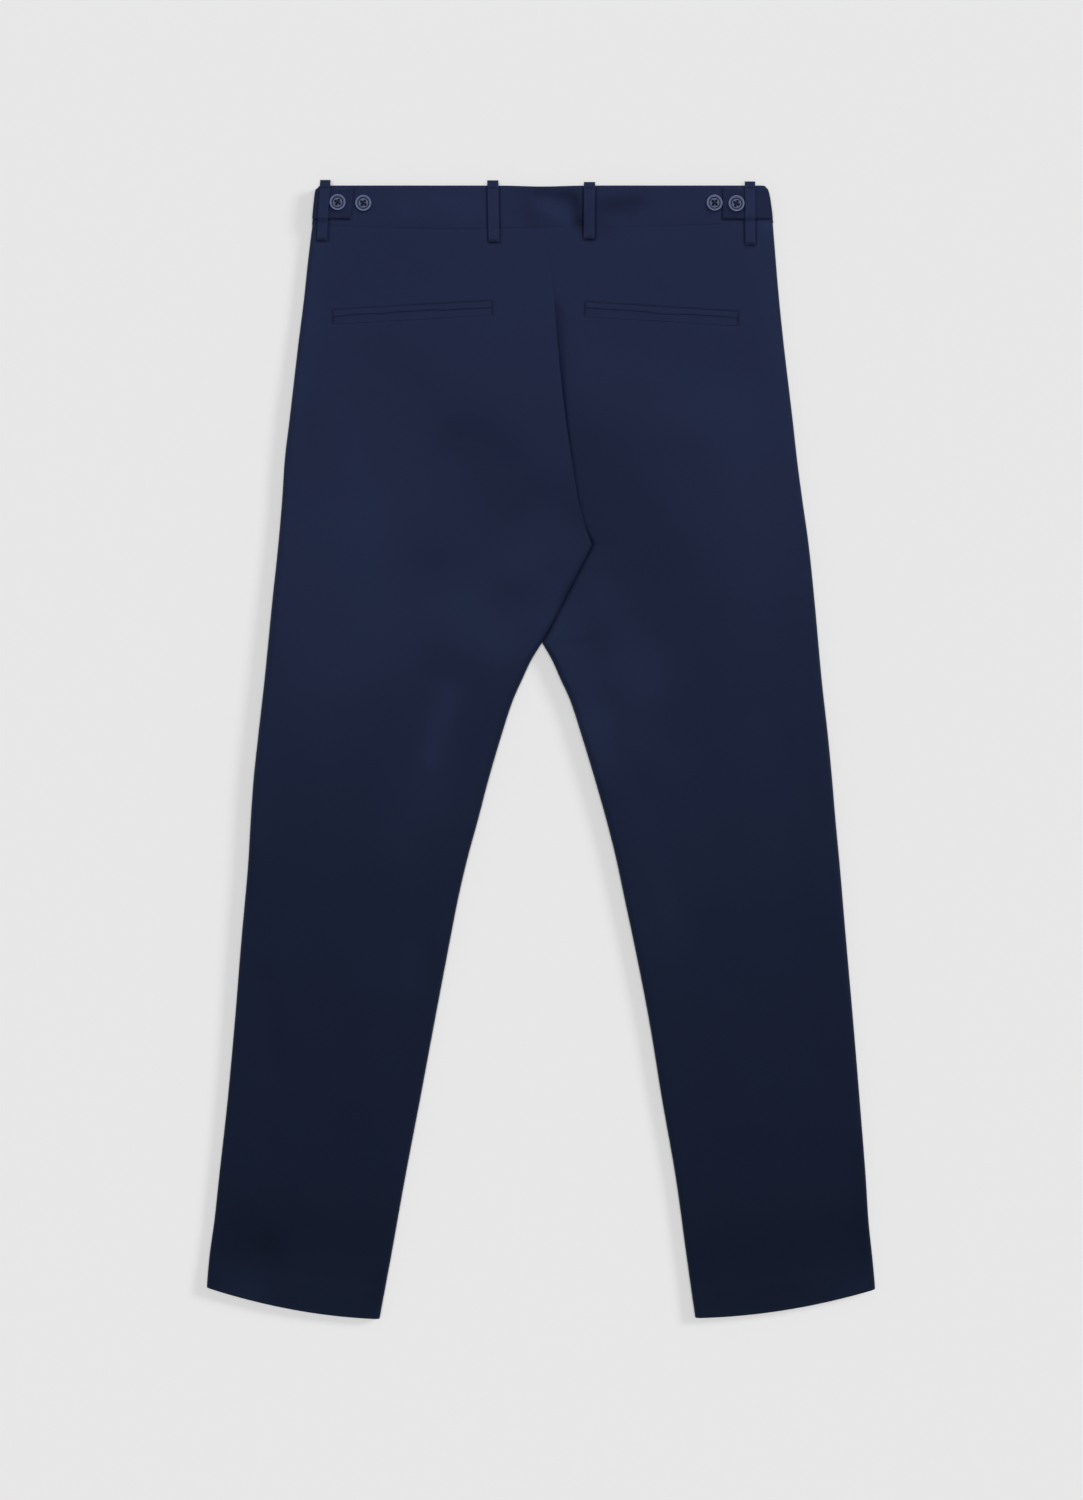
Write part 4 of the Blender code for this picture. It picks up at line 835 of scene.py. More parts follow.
def make_loop(row, surface, sides, sizes):
    """Make one belt loop, folded lengthwise: it clears the waistband's top edge and its seam."""
    half = row.wide / 2
    offs = mirrored([0, 0.3, 0.6, 0.78, 0.88, 0.95, 0.985, 1]) * half
    ends = np.array([0.0, 0.2, 0.5, 0.9, 1.4])
    ys = np.concatenate([row.top_y - ends, np.linspace(row.top_y - 2.4, row.low_y + 2.4, 46),
                         row.low_y + ends[::-1]])
    seam = float(seam_y(np.array((row.top_x + row.low_x) / 2), sides, True))
    under = np.minimum(ys, BAND_TOP - BAND_DIP - 1.6)
    if row.over_tab:
        tab = TABS[0] if row.top_x < 0 else TABS[1]
        under = np.minimum(under, tab.top_y - 1.6)
        beside = (under < tab.low_y + 1.6) & (under > tab.low_y - 1.4)
        under = np.where(beside, tab.low_y + 1.6, under)
    under = np.where(abs(under - seam) < 1.2, seam - 1.2, under)
    share = at_y(row, ys, 0.0, 1.0)
    centre = at_y(row, ys, row.top_x, row.low_x)
    middle = np.array([max(surface.high(x + off, y) for off in (-half + 0.4, 0.0, half - 0.4))
                       for x, y in zip(centre, under)])
    low = np.maximum(smooth(middle, 3) + 0.35 + 0.9 * np.sin(np.pi * share), middle + 0.3)
    narrow = 1 - row.rounded * 0.28 * np.clip(1 - (ys - row.low_y) / 1.6, 0, 1) ** 2
    end_near = 1 - np.minimum(ys - row.low_y, row.top_y - ys) / 1.2
    ends = 0.5 + 0.5 * arc(end_near)
    cloth = strap_cloth(offs, half, 1.3, sizes.loop_cloth / MM)[None, :] * ends[:, None]
    groove = 0.12 * bell(abs(offs) - half + 2.0, 0.45)[None, :]
    x = centre[:, None] + offs[None, :] * narrow[:, None]
    y = np.broadcast_to(ys[:, None], x.shape)
    lows = np.stack([x, y, low[:, None] + 0 * x], axis=2)
    tops = np.stack([x, y, low[:, None] + cloth - groove], axis=2)
    # Paler all over and more so near its edges, with half of the painted light and shade patches
    worn_and_shaded = 0.30 + 0.5 * bell(half - abs(offs) - 1.1, 0.6)[None, :] + 0.5 * fold_height(PAINTED_LIGHT_AND_SHADE, x, y)
    return closed_wall(row.name + "_cloth", tops, lows, worn_and_shaded)


def make_front_loop(side, sides, sizes):
    """Make a belt loop under the front of the waistband, flat on the surface."""
    centre = -side.inward * FRONT_LOOP_X
    half = 5.2
    ys = np.linspace(BAND_TOP - 0.6, float(seam_y(np.array(centre), sides, False)) + 1.0, 26)
    offs = mirrored([0, 0.5, 0.78, 0.9, 0.97, 1]) * half
    x = np.broadcast_to(centre + offs[None, :], (len(ys), len(offs)))
    y = np.broadcast_to(ys[:, None], x.shape)
    cloth = strap_cloth(offs, half, 1.0, sizes.loop_cloth / MM * 0.66)[None, :] + 0 * x
    return closed_wall("belt_loop_front_" + side.name + "_cloth", np.stack([x, y, cloth], axis=2),
                       np.stack([x, y, 0 * x], axis=2))


def make_tab(row, surface, sizes):
    """Make one adjuster tab: a strap from the side seam, bent round the waistband's side roll."""
    steps = [0, 0.006, 0.02, 0.045, 0.08, *np.linspace(0.14, 0.86, 18), 0.92, 0.955, 0.98, 0.994, 1]
    shares = [*np.linspace(0.04, 0.92, 22), 0.95, 0.975, 0.99, 0.997, 1.0]
    inward = INWARD[row.side]
    lows, tops, worn_and_shaded = [], [], []
    for step in steps:
        y = row.top_y - (row.top_y - row.low_y) * step
        end = band_ends(BAND_TOP - y)[row.side]
        free = at_y(row, y, row.end_top, row.end_low)
        flat = end + inward * BAND_RIM
        from_edge = min(step, 1 - step) * (row.top_y - row.low_y)
        stations = [(end + inward * BAND_RIM * (1 - math.cos(turn)), turn, 0.0)
                    for turn in np.radians(np.linspace(45, 90, 9))]
        stations += [(flat + (free - flat) * share, math.pi / 2, share) for share in shares]
        for x, lean, share in stations:
            out = -inward * math.cos(lean)
            base = surface.high(x, y)
            lift = 0.35 + 0.5 * math.cos(lean) + row.stand_off * share ** 2
            near = min(from_edge, abs(free - flat) * (1 - share) if share > 0 else 99.0)
            cloth = sizes.tab_cloth / MM * (0.5 + 0.5 * arc(1 - near / 1.1)) - 0.13 * bell(near - 1.9, 0.45)
            lows.append((x + out * lift, y, base + math.sin(lean) * lift))
            tops.append((x + out * (lift + cloth), y, base + math.sin(lean) * (lift + cloth)))
            # Paler within about a millimetre of the tab's edges, and darker over the rest of it
            worn_and_shaded.append(1.9 * math.exp(-near / 0.9) - 0.45)
    shape = (len(steps), -1, 3)
    return closed_wall(row.name + "_cloth", np.reshape(tops, shape), np.reshape(lows, shape),
                       np.reshape(worn_and_shaded, shape[:2]))


def make_jet(row, surface, above):
    """Make one of the two folded strips along a back pocket's mouth, sunk level with the cloth."""
    long, unit_x, unit_y = pocket_line(row)
    along = np.array([unit_x, unit_y])
    across = np.array([-unit_y, unit_x])
    if (across[1] > 0) != above:
        across = -across
    ends = np.array([0, 0.25, 0.7, 1.4])
    steps = np.concatenate([ends, np.linspace(2.6, long - 2.6, 110), long - ends[::-1]])
    lows, tops = [], []
    for s in steps:
        gape = 0.08 + sum(gap.open * float(window(s, gap.a, gap.b, 9.0))
                          for gap in GAPES if gap.name == row.name)
        gape = gape * (1.0 if above else 0.8)
        thick = 0.39 + 0.39 * arc(1 - min(s, long - s)) + 0.06 * float(ripple(s, 1.1 if above else 4.4, 23))
        for off, upper, lower in JET_PROFILE:
            place = np.array([row.outer_x, row.outer_y]) + along * s + across * (gape + off * (1 - gape / 9))
            base = surface.high(*place) + 0.04
            lows.append((*place, base))
            tops.append((*place, base + thick * (upper if above else lower)))
    shape = (len(steps), -1, 3)
    name = row.name + ("_upper_jet" if above else "_lower_jet")
    return closed_wall(name + "_cloth", np.reshape(tops, shape), np.reshape(lows, shape))


def deselect():
    """Leave nothing selected, so that an operator acts only on what it makes."""
    if bpy.context.object and bpy.context.object.mode != "OBJECT":
        bpy.ops.object.mode_set(mode="OBJECT")
    bpy.ops.object.select_all(action="DESELECT")


def only(thing):
    """Select one object and make it the active one."""
    deselect()
    thing.select_set(True)
    bpy.context.view_layer.objects.active = thing


def apply_place():
    """Apply the active object's place, turn and size to its mesh."""
    bpy.ops.object.transform_apply(location=True, rotation=True, scale=True)


def take_mesh(thing):
    """Take an object away, and give its points and faces."""
    points = np.array([vertex.co[:] for vertex in thing.data.vertices])
    faces = [list(face.vertices) for face in thing.data.polygons]
    bpy.data.objects.remove(thing, do_unlink=True)
    return points, faces


def grain_mesh(long, wide, high):
    """Model one stitch: a rounded grain of thread, and give its points and faces."""
    deselect()
    bpy.ops.mesh.primitive_uv_sphere_add(segments=6, ring_count=4, radius=0.5, location=(0, 0, 0),
                                         rotation=(0, math.pi / 2, 0))
    thing = bpy.context.object
    thing.scale = (high, wide, long)
    apply_place()
    return take_mesh(thing)


def moved(x, y, z):
    """A matrix that moves a shape to a place in millimetres."""
    return Matrix.Translation(Vector((x, y, z)) * MM)


def scatter(name, points, faces, places):
    """Copy one small shape to many places, each a 4x4 matrix, as one mesh in metres."""
    corners, all_faces = [], []
    for place in places:
        start = len(corners) * len(points)
        corners.append(points @ np.array(place)[:3, :3].T + np.array(place)[:3, 3])
        all_faces += [[start + index for index in face] for face in faces]
    return new_piece(name, np.concatenate(corners).tolist(), all_faces)


def sew(name, runs, surface):
    """Sew runs of stitches on a surface: each run has its points, spacing, and turn of each stitch."""
    places = []
    reach = 0.8
    for points, spacing, turn in runs:
        points = np.array(points, float)
        legs = np.linalg.norm(np.diff(points, axis=0), axis=1)
        marks = np.concatenate([[0.0], np.cumsum(legs)])
        count = max(1, round(marks[-1] / spacing))
        for s in (np.arange(count) + 0.5) * marks[-1] / count:
            i = int(np.clip(np.searchsorted(marks, s) - 1, 0, len(legs) - 1))
            ahead = points[i + 1] - points[i]
            x, y = points[i] + ahead * (s - marks[i]) / legs[i]
            heading = math.atan2(ahead[1], ahead[0]) + turn
            dx, dy = math.cos(heading) * reach, math.sin(heading) * reach
            slope = (surface.high(x + dx, y + dy) - surface.high(x - dx, y - dy)) / (2 * reach)
            lean = math.atan(min(max(slope, -0.6), 0.6))
            places.append(moved(x, y, surface.high(x, y) + 0.07) @ Matrix.Rotation(heading, 4, "Z")
                          @ Matrix.Rotation(-lean, 4, "Y"))
    grain = grain_mesh(2.1 * MM, 0.42 * MM, 0.30 * MM)
    return settle(scatter(name, *grain, places), None, "thread")


def tube(points, radius, sides=8):
    """Sweep a round thread along points in millimetres, and give its corners and faces."""
    points = np.array(points, float)
    ahead = unit(np.gradient(points, axis=0))
    beside = unit(np.cross(ahead, (0.3, -0.2, 1.0)))
    above = np.cross(beside, ahead)
    turns = np.linspace(0, 2 * np.pi, sides, endpoint=False)[None, :, None]
    rings = points[:, None] + radius * (beside[:, None] * np.cos(turns) + above[:, None] * np.sin(turns))
    faces = [[r * sides + k, r * sides + (k + 1) % sides,
              (r + 1) * sides + (k + 1) % sides, (r + 1) * sides + k]
             for r in range(len(points) - 1) for k in range(sides)]
    faces += [list(range(sides))[::-1], [(len(points) - 1) * sides + k for k in range(sides)]]
    return rings.reshape(-1, 3), faces


def model_button():
    """Model one four-hole button by hand, lying on the surface at the origin, in metres."""
    deselect()
    first = BUTTON_RINGS[0]
    bpy.ops.mesh.primitive_circle_add(vertices=48, radius=first.radius * MM, fill_type="NGON",
                                      location=(0, 0, 0))
    thing = bpy.context.object
    thing.name = "button_blank"
    bpy.ops.object.mode_set(mode="EDIT")
    bpy.ops.mesh.select_mode(type="FACE")
    bpy.ops.mesh.select_all(action="SELECT")
    for below, ring in zip(BUTTON_RINGS, BUTTON_RINGS[1:]):
        rise = (ring.high - below.high) * MM
        bpy.ops.mesh.extrude_region_move(TRANSFORM_OT_translate={"value": (0, 0, rise)})
        wider = ring.radius / below.radius
        bpy.ops.transform.resize(value=(wider, wider, 1.0), center_override=(0, 0, ring.high * MM))
    bpy.ops.mesh.select_all(action="SELECT")
    bpy.ops.mesh.normals_make_consistent(inside=False)
    bpy.ops.object.mode_set(mode="OBJECT")
    for x, y in ((1, 1), (-1, 1), (-1, -1), (1, -1)):
        deselect()
        bpy.ops.mesh.primitive_cylinder_add(vertices=20, radius=HOLE_RADIUS * MM, depth=8 * MM,
                                            location=(x * HOLE_OFFSET * MM, y * HOLE_OFFSET * MM, 0))
        drill = bpy.context.object
        only(thing)
        cut = thing.modifiers.new("hole", "BOOLEAN")
        cut.operation = "DIFFERENCE"
        cut.solver = "EXACT"
        cut.object = drill
        bpy.ops.object.modifier_apply(modifier=cut.name)
        bpy.data.objects.remove(drill, do_unlink=True)
    only(thing)
    bpy.ops.object.shade_smooth_by_angle(angle=math.radians(42))
    # Painted highlight and painted shade: rings of the button's face painted paler or darker
    painted_rings = thing.data.attributes.new("Polish", "FLOAT", "POINT")
    for vertex in thing.data.vertices:
        off, high = vertex.co.xy.length / MM, vertex.co.z / MM
        painted_rings.data[vertex.index].value = (high > 0.5) * sum(
            row.tone * bell(off - row.radius, row.wide) for row in PAINTED_RINGS)
    return thing


def button_place(row, band, tabs):
    """Work out where a button lies: its place, its tilt and its turn, as one matrix."""
    base = tabs if row.on_tab else band
    highest = max(base.high(row.x + off, row.y) for off in (-5.2, 0.0, 5.2))
    tilt = math.radians(row.tilt)
    return (moved(row.x, row.y, highest + BUTTON_REST + abs(math.sin(tilt)) * 7.5)
            @ Matrix.Rotation(tilt, 4, "Y") @ Matrix.Rotation(math.radians(row.turn), 4, "Z"))


def thread_cross(name, place):
    """Sew a button on: two crossed threads through its four holes."""
    corners, faces = [], []
    for turn, over in ((45, 0.30), (135, 0.62)):
        across = Vector((math.cos(math.radians(turn)), math.sin(math.radians(turn)), 0))
        for side_step in (-0.36, 0.36):
            beside = Vector((-across.y, across.x, 0)) * side_step
            path = []
            for t in np.linspace(-1, 1, 15):
                reach = HOLE_OFFSET * math.sqrt(2) * min(max(t * 1.35, -1.0), 1.0)
                down = max(abs(t) - 0.74, 0.0) / 0.26
                high = BUTTON_RINGS[-1].high + 0.3 + over * math.cos(t * math.pi / 2) - 2.6 * down
                path.append(across * reach + beside + Vector((0, 0, high)))
            points, quads = tube(path, 0.5)
            faces += [[len(corners) + index for index in quad] for quad in quads]
            corners += [tuple(place @ (Vector(point) * MM)) for point in points]
    return settle(new_piece(name, corners, faces), None, "thread")


def model_tooth():
    """Model one zip tooth by hand: a bevelled block, in metres."""
    deselect()
    bpy.ops.mesh.primitive_cube_add(size=1.0, location=(0, 0, 0))
    thing = bpy.context.object
    thing.scale = (3.2 * MM, 0.85 * MM, 1.5 * MM)
    apply_place()
    bpy.ops.object.mode_set(mode="EDIT")
    bpy.ops.mesh.select_all(action="SELECT")
    bpy.ops.mesh.bevel(offset=0.22 * MM, segments=2, affect="EDGES")
    bpy.ops.object.mode_set(mode="OBJECT")
    return take_mesh(thing)


def make_zip():
    """Make the closed zip's tapes, and its teeth between them."""
    half = [*np.linspace(12, 3.4, 12), 2.9, 2.2, 1.0]
    xs = np.array([-x for x in half] + [0.0] + half[::-1])
    x, y = np.meshgrid(FRONT_SEAM_X + xs, np.linspace(ZIP_TOP_Y, ZIP_TOP_Y - ZIP_LONG, 60))
    cloth = 0.6 + 0.25 * bell(abs(xs) - 2.9, 0.8)[None, :] + 0 * x
    tape = closed_wall("fly_zip_tapes", np.stack([x, y, ZIP_LOW + cloth], axis=2),
                       np.stack([x, y, ZIP_LOW + 0 * x], axis=2))
    ys = ZIP_TOP_Y - 3.0 - np.linspace(0, ZIP_LONG - 6.0, ZIP_TEETH)
    places = [moved(FRONT_SEAM_X + (0.75 if k % 2 else -0.75), y, ZIP_LOW + 0.85) for k, y in enumerate(ys)]
    return tape, scatter("fly_zip_teeth", *model_tooth(), places)


# Materials

class Value:
    """One socket of a material, on which sums are written as Python expressions."""

    def __init__(self, finish, socket):
        self.finish = finish
        self.socket = socket

    def sum(self, operation, *values):
        """Add a Math node of one kind."""
        return self.finish.add("ShaderNodeMath", {"operation": operation}, dict(enumerate(values)))

    def __add__(self, other):
        return self.sum("ADD", self, other)

    def __sub__(self, other):
        return self.sum("SUBTRACT", self, other)

    def __mul__(self, other):
        return self.sum("MULTIPLY", self, other)

    __radd__ = __add__
    __rmul__ = __mul__

    def sine(self):
        """The sine of this value."""
        return self.sum("SINE", self)


class Finish:
    """One procedural material and its nodes."""

    def __init__(self, name):
        self.material = bpy.data.materials.new(name)
        self.material.use_nodes = True
        self.tree = self.material.node_tree
        self.tree.nodes.clear()

    def add(self, kind, settings=None, sockets=None, output=0):
        """Add a node: its settings first, then the values or links of its sockets."""
        node = self.tree.nodes.new(kind)
        for name, value in (settings or {}).items():
            setattr(node, name, value)
        for name, value in (sockets or {}).items():
            if isinstance(value, Value):
                self.tree.links.new(value.socket, node.inputs[name])
            else:
                node.inputs[name].default_value = value
        return Value(self, node.outputs[output])

    def mix(self, factor, first, second, blend="MIX"):
        """Mix two colours."""
        return self.add("ShaderNodeMix", {"data_type": "RGBA", "blend_type": blend},
                        {0: factor, 6: first, 7: second}, 2)

    def shades(self, colour, value):
        """Darken or lighten a colour by a value."""
        grey = self.add("ShaderNodeCombineColor", None, {0: value, 1: value, 2: value})
        return self.mix(1.0, colour, grey, "MULTIPLY")

    def noise(self, where, scale, detail=2.0, rough=0.5):
        """A soft noise round 0."""
        return self.add("ShaderNodeTexNoise", {"noise_dimensions": "3D"},
                        {"Vector": where, "Scale": scale, "Detail": detail, "Roughness": rough}) - 0.5

    def place(self):
        """The place on the piece, in metres."""
        return self.add("ShaderNodeTexCoord", None, None, 3)

    def flat(self):
        """The place on the cloth as it lies flat, in metres."""
        return self.add("ShaderNodeUVMap", {"uv_map": "Cloth"})

    def mark(self, name):
        """A value that a piece's points carry."""
        return self.add("ShaderNodeAttribute", {"attribute_name": name}, None, 2)

    def split(self, vector):
        """Split a vector into its three values."""
        node = self.add("ShaderNodeSeparateXYZ", None, {"Vector": vector}).socket.node
        return [Value(self, output) for output in node.outputs]

    def bump(self, height, strength, distance):
        """Raise the surface by a height."""
        return self.add("ShaderNodeBump", None,
                        {"Height": height, "Strength": strength, "Distance": distance})

    def shade(self, **sockets):
        """End in a Principled surface."""
        names = {name.replace("_", " "): value for name, value in sockets.items()}
        surface = self.add("ShaderNodeBsdfPrincipled", None, names)
        output = self.tree.nodes.new("ShaderNodeOutputMaterial")
        self.tree.links.new(surface.socket, output.inputs["Surface"])
        return self.material


def twill(colours):
    """Navy cotton twill: diagonal ribs of fine yarn with a soft sheen, a little lighter on its edges from
    wearing, with a painted light falloff from the waist to the hems and painted light and shade patches.
    """
    finish = Finish("navy_twill")
    across, down, _ = finish.split(finish.flat())
    place = finish.place()
    length = finish.split(place)[1]
    rib = 2 * math.pi / colours.rib_pitch
    slub = finish.noise(place, 900.0, 1.0)
    ribs = ((across + down * 0.62) * rib + (slub + 0.5) * 1.6).sine()
    yarns = (across * (rib / 0.72)).sine() * (down * (rib / 0.5)).sine()
    cloud = finish.noise(place, 9.0, 3.0)
    heather = finish.noise(place, 2600.0, 2.0)
    fuzz = finish.noise(place, 420.0, 3.0, 0.6)
    shade = 0.90 + ribs * 0.07 + yarns * 0.03 + cloud * 0.10 + heather * 0.16
    # Painted light falloff: the twill is painted brighter at the waist and darker at the hems
    fall = finish.add("ShaderNodeMapRange", {"clamp": True}, {0: length, 1: -0.54, 2: 0.54, 3: 0.0, 4: 1.0})
    shade = shade * (colours.hem_painted_falloff + fall * (colours.waist_painted_falloff - colours.hem_painted_falloff))
    # The edges' wearing and the painted light and shade, carried by the pieces' points
    shade = shade * (1.0 + finish.mark("Wear") * 0.30)
    # Painted light falloff in colour: bluer at the waist, a little greener at the hems
    base = finish.mix(fall, (*colours.hem_painted_colour, 1.0), (*colours.cloth, 1.0))
    height = ribs * 0.55 + yarns * 0.25 + heather * 0.8 + fuzz * 1.3
    return finish.shade(
        Base_Color=finish.shades(base, shade), Roughness=0.66 + heather * 0.10,
        Normal=finish.bump(height, 0.42, 0.00009), Specular_IOR_Level=0.16,
        Specular_Tint=(0.42, 0.52, 1.0, 1.0), Sheen_Weight=0.08, Sheen_Roughness=0.5,
        Sheen_Tint=(0.20, 0.27, 0.60, 1.0))


def thread(colours):
    """Twisted navy sewing thread."""
    finish = Finish("navy_thread")
    place = finish.place()
    x, y, z = finish.split(place)
    twist = ((x + y * 0.8 + z) * (2 * math.pi / 0.00045)).sine()
    base = finish.shades((*colours.thread, 1.0), 0.92 + twist * 0.14 + finish.noise(place, 700.0) * 0.2)
    return finish.shade(Base_Color=base, Roughness=0.75, Normal=finish.bump(twist, 0.3, 0.00006),
                        Specular_IOR_Level=0.15)


def resin(colours):
    """Grey-blue button resin with a faint cloudy grain, and painted highlight and painted shade rings on its
    face.
    """
    finish = Finish("button_resin")
    place = finish.place()
    cloud = finish.noise(place, 260.0, 3.0, 0.55)
    grain = finish.noise(place, 1500.0, 2.0)
    streak = finish.add("ShaderNodeTexWave", {"wave_type": "BANDS", "bands_direction": "DIAGONAL"},
                        {"Vector": place, "Scale": 160.0, "Distortion": 5.0, "Detail": 2.0}, 1)
    # The painted rings give a painted highlight at the rim and the inner ring, and painted shade in the
    # groove between
    tone = 0.84 + cloud * 0.20 + grain * 0.10 + (streak - 0.5) * 0.10 + finish.mark("Polish") * 0.8
    base = finish.shades((*colours.button, 1.0), tone)
    return finish.shade(Base_Color=base, Roughness=0.40 + grain * 0.14,
                        Normal=finish.bump(grain, 0.12, 0.00004), Specular_IOR_Level=0.20)


def tape_weave(colours):
    """Zip tape: fine herringbone, darker than the cloth."""
    finish = Finish("zip_tape_weave")
    across, down, _ = finish.split(finish.flat())
    slant = across.sum("ABSOLUTE", across) * 0.9
    rows = ((down + slant) * (2 * math.pi / 0.0011)).sine()
    cords = (across * (2 * math.pi / 0.0007)).sine()
    base = finish.shades((*colours.tape, 1.0), 0.9 + rows * 0.16 + cords * 0.06)
    return finish.shade(Base_Color=base, Roughness=0.78, Normal=finish.bump(rows + cords * 0.4, 0.5, 0.0001),
                        Sheen_Weight=0.15)


def nickel(colours):
    """Satin nickel with fine brushing and faint smudges."""
    finish = Finish("satin_nickel")
    place = finish.place()
    x, y, z = finish.split(place)
    stretched = finish.add("ShaderNodeCombineXYZ", None, {0: x * 9.0, 1: y, 2: z * 9.0})
    brushed = finish.noise(stretched, 900.0, 2.0)
    smudge = finish.noise(place, 240.0, 2.0)
    base = finish.shades((*colours.metal, 1.0), 0.9 + brushed * 0.16 + smudge * 0.10)
    return finish.shade(Base_Color=base, Metallic=1.0, Roughness=0.32 + brushed * 0.2 + smudge * 0.1,
                        Normal=finish.bump(brushed, 0.2, 0.00003))


def floor_paper(colours):
    """Pale matt floor."""
    finish = Finish("pale_floor")
    base = finish.shades((*colours.floor, 1.0), 0.997 + finish.noise(finish.place(), 90.0, 2.0) * 0.006)
    return finish.shade(Base_Color=base, Roughness=0.95, Specular_IOR_Level=0.0)


FINISHES = {"twill": twill, "thread": thread, "resin": resin, "tape": tape_weave, "nickel": nickel,
            "floor": floor_paper}
MADE = {}


def material(name):
    """Find or make one of the finishes."""
    if name not in MADE:
        MADE[name] = FINISHES[name](bpy.context.scene.trouser_colours)
    return MADE[name]


def piece(name):
    """Find a finished piece by its node's name."""
    thing = bpy.data.objects.get(name + "_cloth")
    if thing is None:
        raise RuntimeError("make %s first" % name)
    return thing


def surface_of(*names):
    """The upper faces of finished pieces, by their nodes' names."""
    return Surface([piece(name) for name in names])


# Sizes and colours that a user would change

def length(label, about, default, **limits):
    """A length in metres."""
    return FloatProperty(name=label, description=about, default=default, precision=5, unit="LENGTH",
                         **limits)


def colour(label, about, *default):
    """A colour."""
    return FloatVectorProperty(name=label, description=about, size=3, subtype="COLOR", default=default,
                               min=0.0, max=1.0)


def amount(label, about, default, low=0.0, **settings):
    """A strength or a share."""
    return FloatProperty(name=label, description=about, default=default, min=low, **settings)


def angle(label, about, degrees):
    """An angle."""
    return FloatProperty(name=label, description=about, default=math.radians(degrees), subtype="ANGLE")


class TrouserSizes(bpy.types.PropertyGroup):
    """Walls and relief of the cloth."""

    cloth: length("Cloth wall", "Thickness of the leg cloth as laid", 0.0012, min=0.0005, max=0.003)
    hem_cloth: length("Hem wall", "Thickness of the turned-up hem", 0.002, min=0.0008, max=0.004)
    band_cloth: length("Waistband wall", "Thickness of the folded waistband", 0.002, min=0.0008, max=0.004)
    loop_cloth: length("Belt loop wall", "Thickness of a folded belt loop", 0.0015, min=0.0008, max=0.003)
    tab_cloth: length("Tab wall", "Thickness of an adjuster tab", 0.0018, min=0.0008, max=0.003)
    pocket_recess: length("Pocket recess", "How far the pocket strips are sunk", 0.00062, min=0.0, max=0.001)
    hem_ridge: length("Hem ridge", "Rise of the cloth over the turned-up hem", 0.00045, min=0.0, max=0.001)
    seam_pucker: length("Seam pucker", "Height of the puckers along the side seams", 0.00028, min=0.0,
                        max=0.001)


class TrouserColours(bpy.types.PropertyGroup):
    """Colours of the finishes and the scale of the weave."""

    cloth: colour("Cloth", "Navy of the twill at the waist", 0.0107, 0.0151, 0.0418)
    # The twill's colour at the hems is painted for the light's falloff towards the hems
    hem_painted_colour: colour("Cloth at the hems", "Navy of the twill at the hems", 0.0105, 0.0171, 0.0380)
    thread: colour("Thread", "Sewing thread", 0.0075, 0.0105, 0.027)
    button: colour("Buttons", "Button resin", 0.047, 0.060, 0.118)
    tape: colour("Zip tape", "Woven tape of the zip", 0.012, 0.017, 0.042)
    metal: colour("Metal", "Zip teeth, slider, hook and bar", 0.46, 0.45, 0.43)
    floor: colour("Floor", "Pale floor", 0.80, 0.80, 0.80)
    rib_pitch: length("Rib pitch", "Distance between the twill's ribs", 0.00062, min=0.0002, max=0.002)
    # Painted light falloff: the twill is painted brighter at the waist and darker at the hems
    waist_painted_falloff: amount("Shade at the waist", "Depth of the dye at the waist", 1.06, 0.5, max=1.5,
                        subtype="FACTOR")
    hem_painted_falloff: amount("Shade at the hems", "Depth of the dye at the hems", 0.92, 0.5, max=1.5,
                      subtype="FACTOR")


class TrouserStage(bpy.types.PropertyGroup):
    """Floor, lights and camera."""

    floor_wide: length("Floor", "Width of the floor", 40.0, min=2.0)
    key: amount("Shadow light", "Strength of the light that casts shadows on the floor", 1.10)
    key_turn: angle("Shadow light direction", "Its turn from +X towards +Y", 25)
    key_rise: angle("Shadow light height", "Its height over the floor", 27)
    key_soft: angle("Shadow light softness", "Its apparent width", 15)
    front_light: amount("Garment light", "Strength of the light kept to the garment", 0.95)
    front_turn: angle("Garment light direction", "Its turn from +X towards +Y", 64)
    front_rise: angle("Garment light height", "Its height over the floor", 44)
    seat_light: amount("Seat light", "Power of the softbox over the seat, in watts", 5.0)
    dome_light: amount("Overhead light", "Power of the wide softbox overhead, in watts", 14.0)
    floor_light: amount("Floor light", "Strength of the light kept to the floor", 2.247)
    ambient: amount("Ambient", "Strength of the even light from all round", 0.13)
    camera_high: length("Camera height", "Height of the camera over the floor", 3.338, min=0.5)
    camera_aside: length("Camera offset", "Sideways place of the camera", 0.0005)
    lens: amount("Lens", "Focal length in millimetres", 85.0, 20.0)


def both_sides():
    """The left and right halves of the garment."""
    return Side("left"), Side("right")


class TROUSERS_OT_legs(bpy.types.Operator):
    """Make the backs and fronts of both legs."""

    bl_idname = "trousers.legs"
    bl_label = "Legs"

    def execute(self, context):
        sizes = context.scene.trouser_sizes
        for side in both_sides():
            front, back = "front_" + side.name, "back_" + side.name
            under = lay(make_panel(side, sizes, False), front, ["floor"])
            lay(make_panel(side, sizes, True), back, [under])
        return {"FINISHED"}


class TROUSERS_OT_waistband(bpy.types.Operator):
    """Make the waistband's back and its two lapped front ends."""

    bl_idname = "trousers.waistband"
    bl_label = "Waistband"

    def execute(self, context):
        sizes = context.scene.trouser_sizes
        sides = both_sides()
        fronts = []
        for side in sides:
            name = "waistband_front_" + side.name
            fronts.append(lay(make_band_front(side, sides, sizes), name, ["floor"]))
        lay(make_band_back(sides, sizes), "waistband_back", fronts)
        return {"FINISHED"}


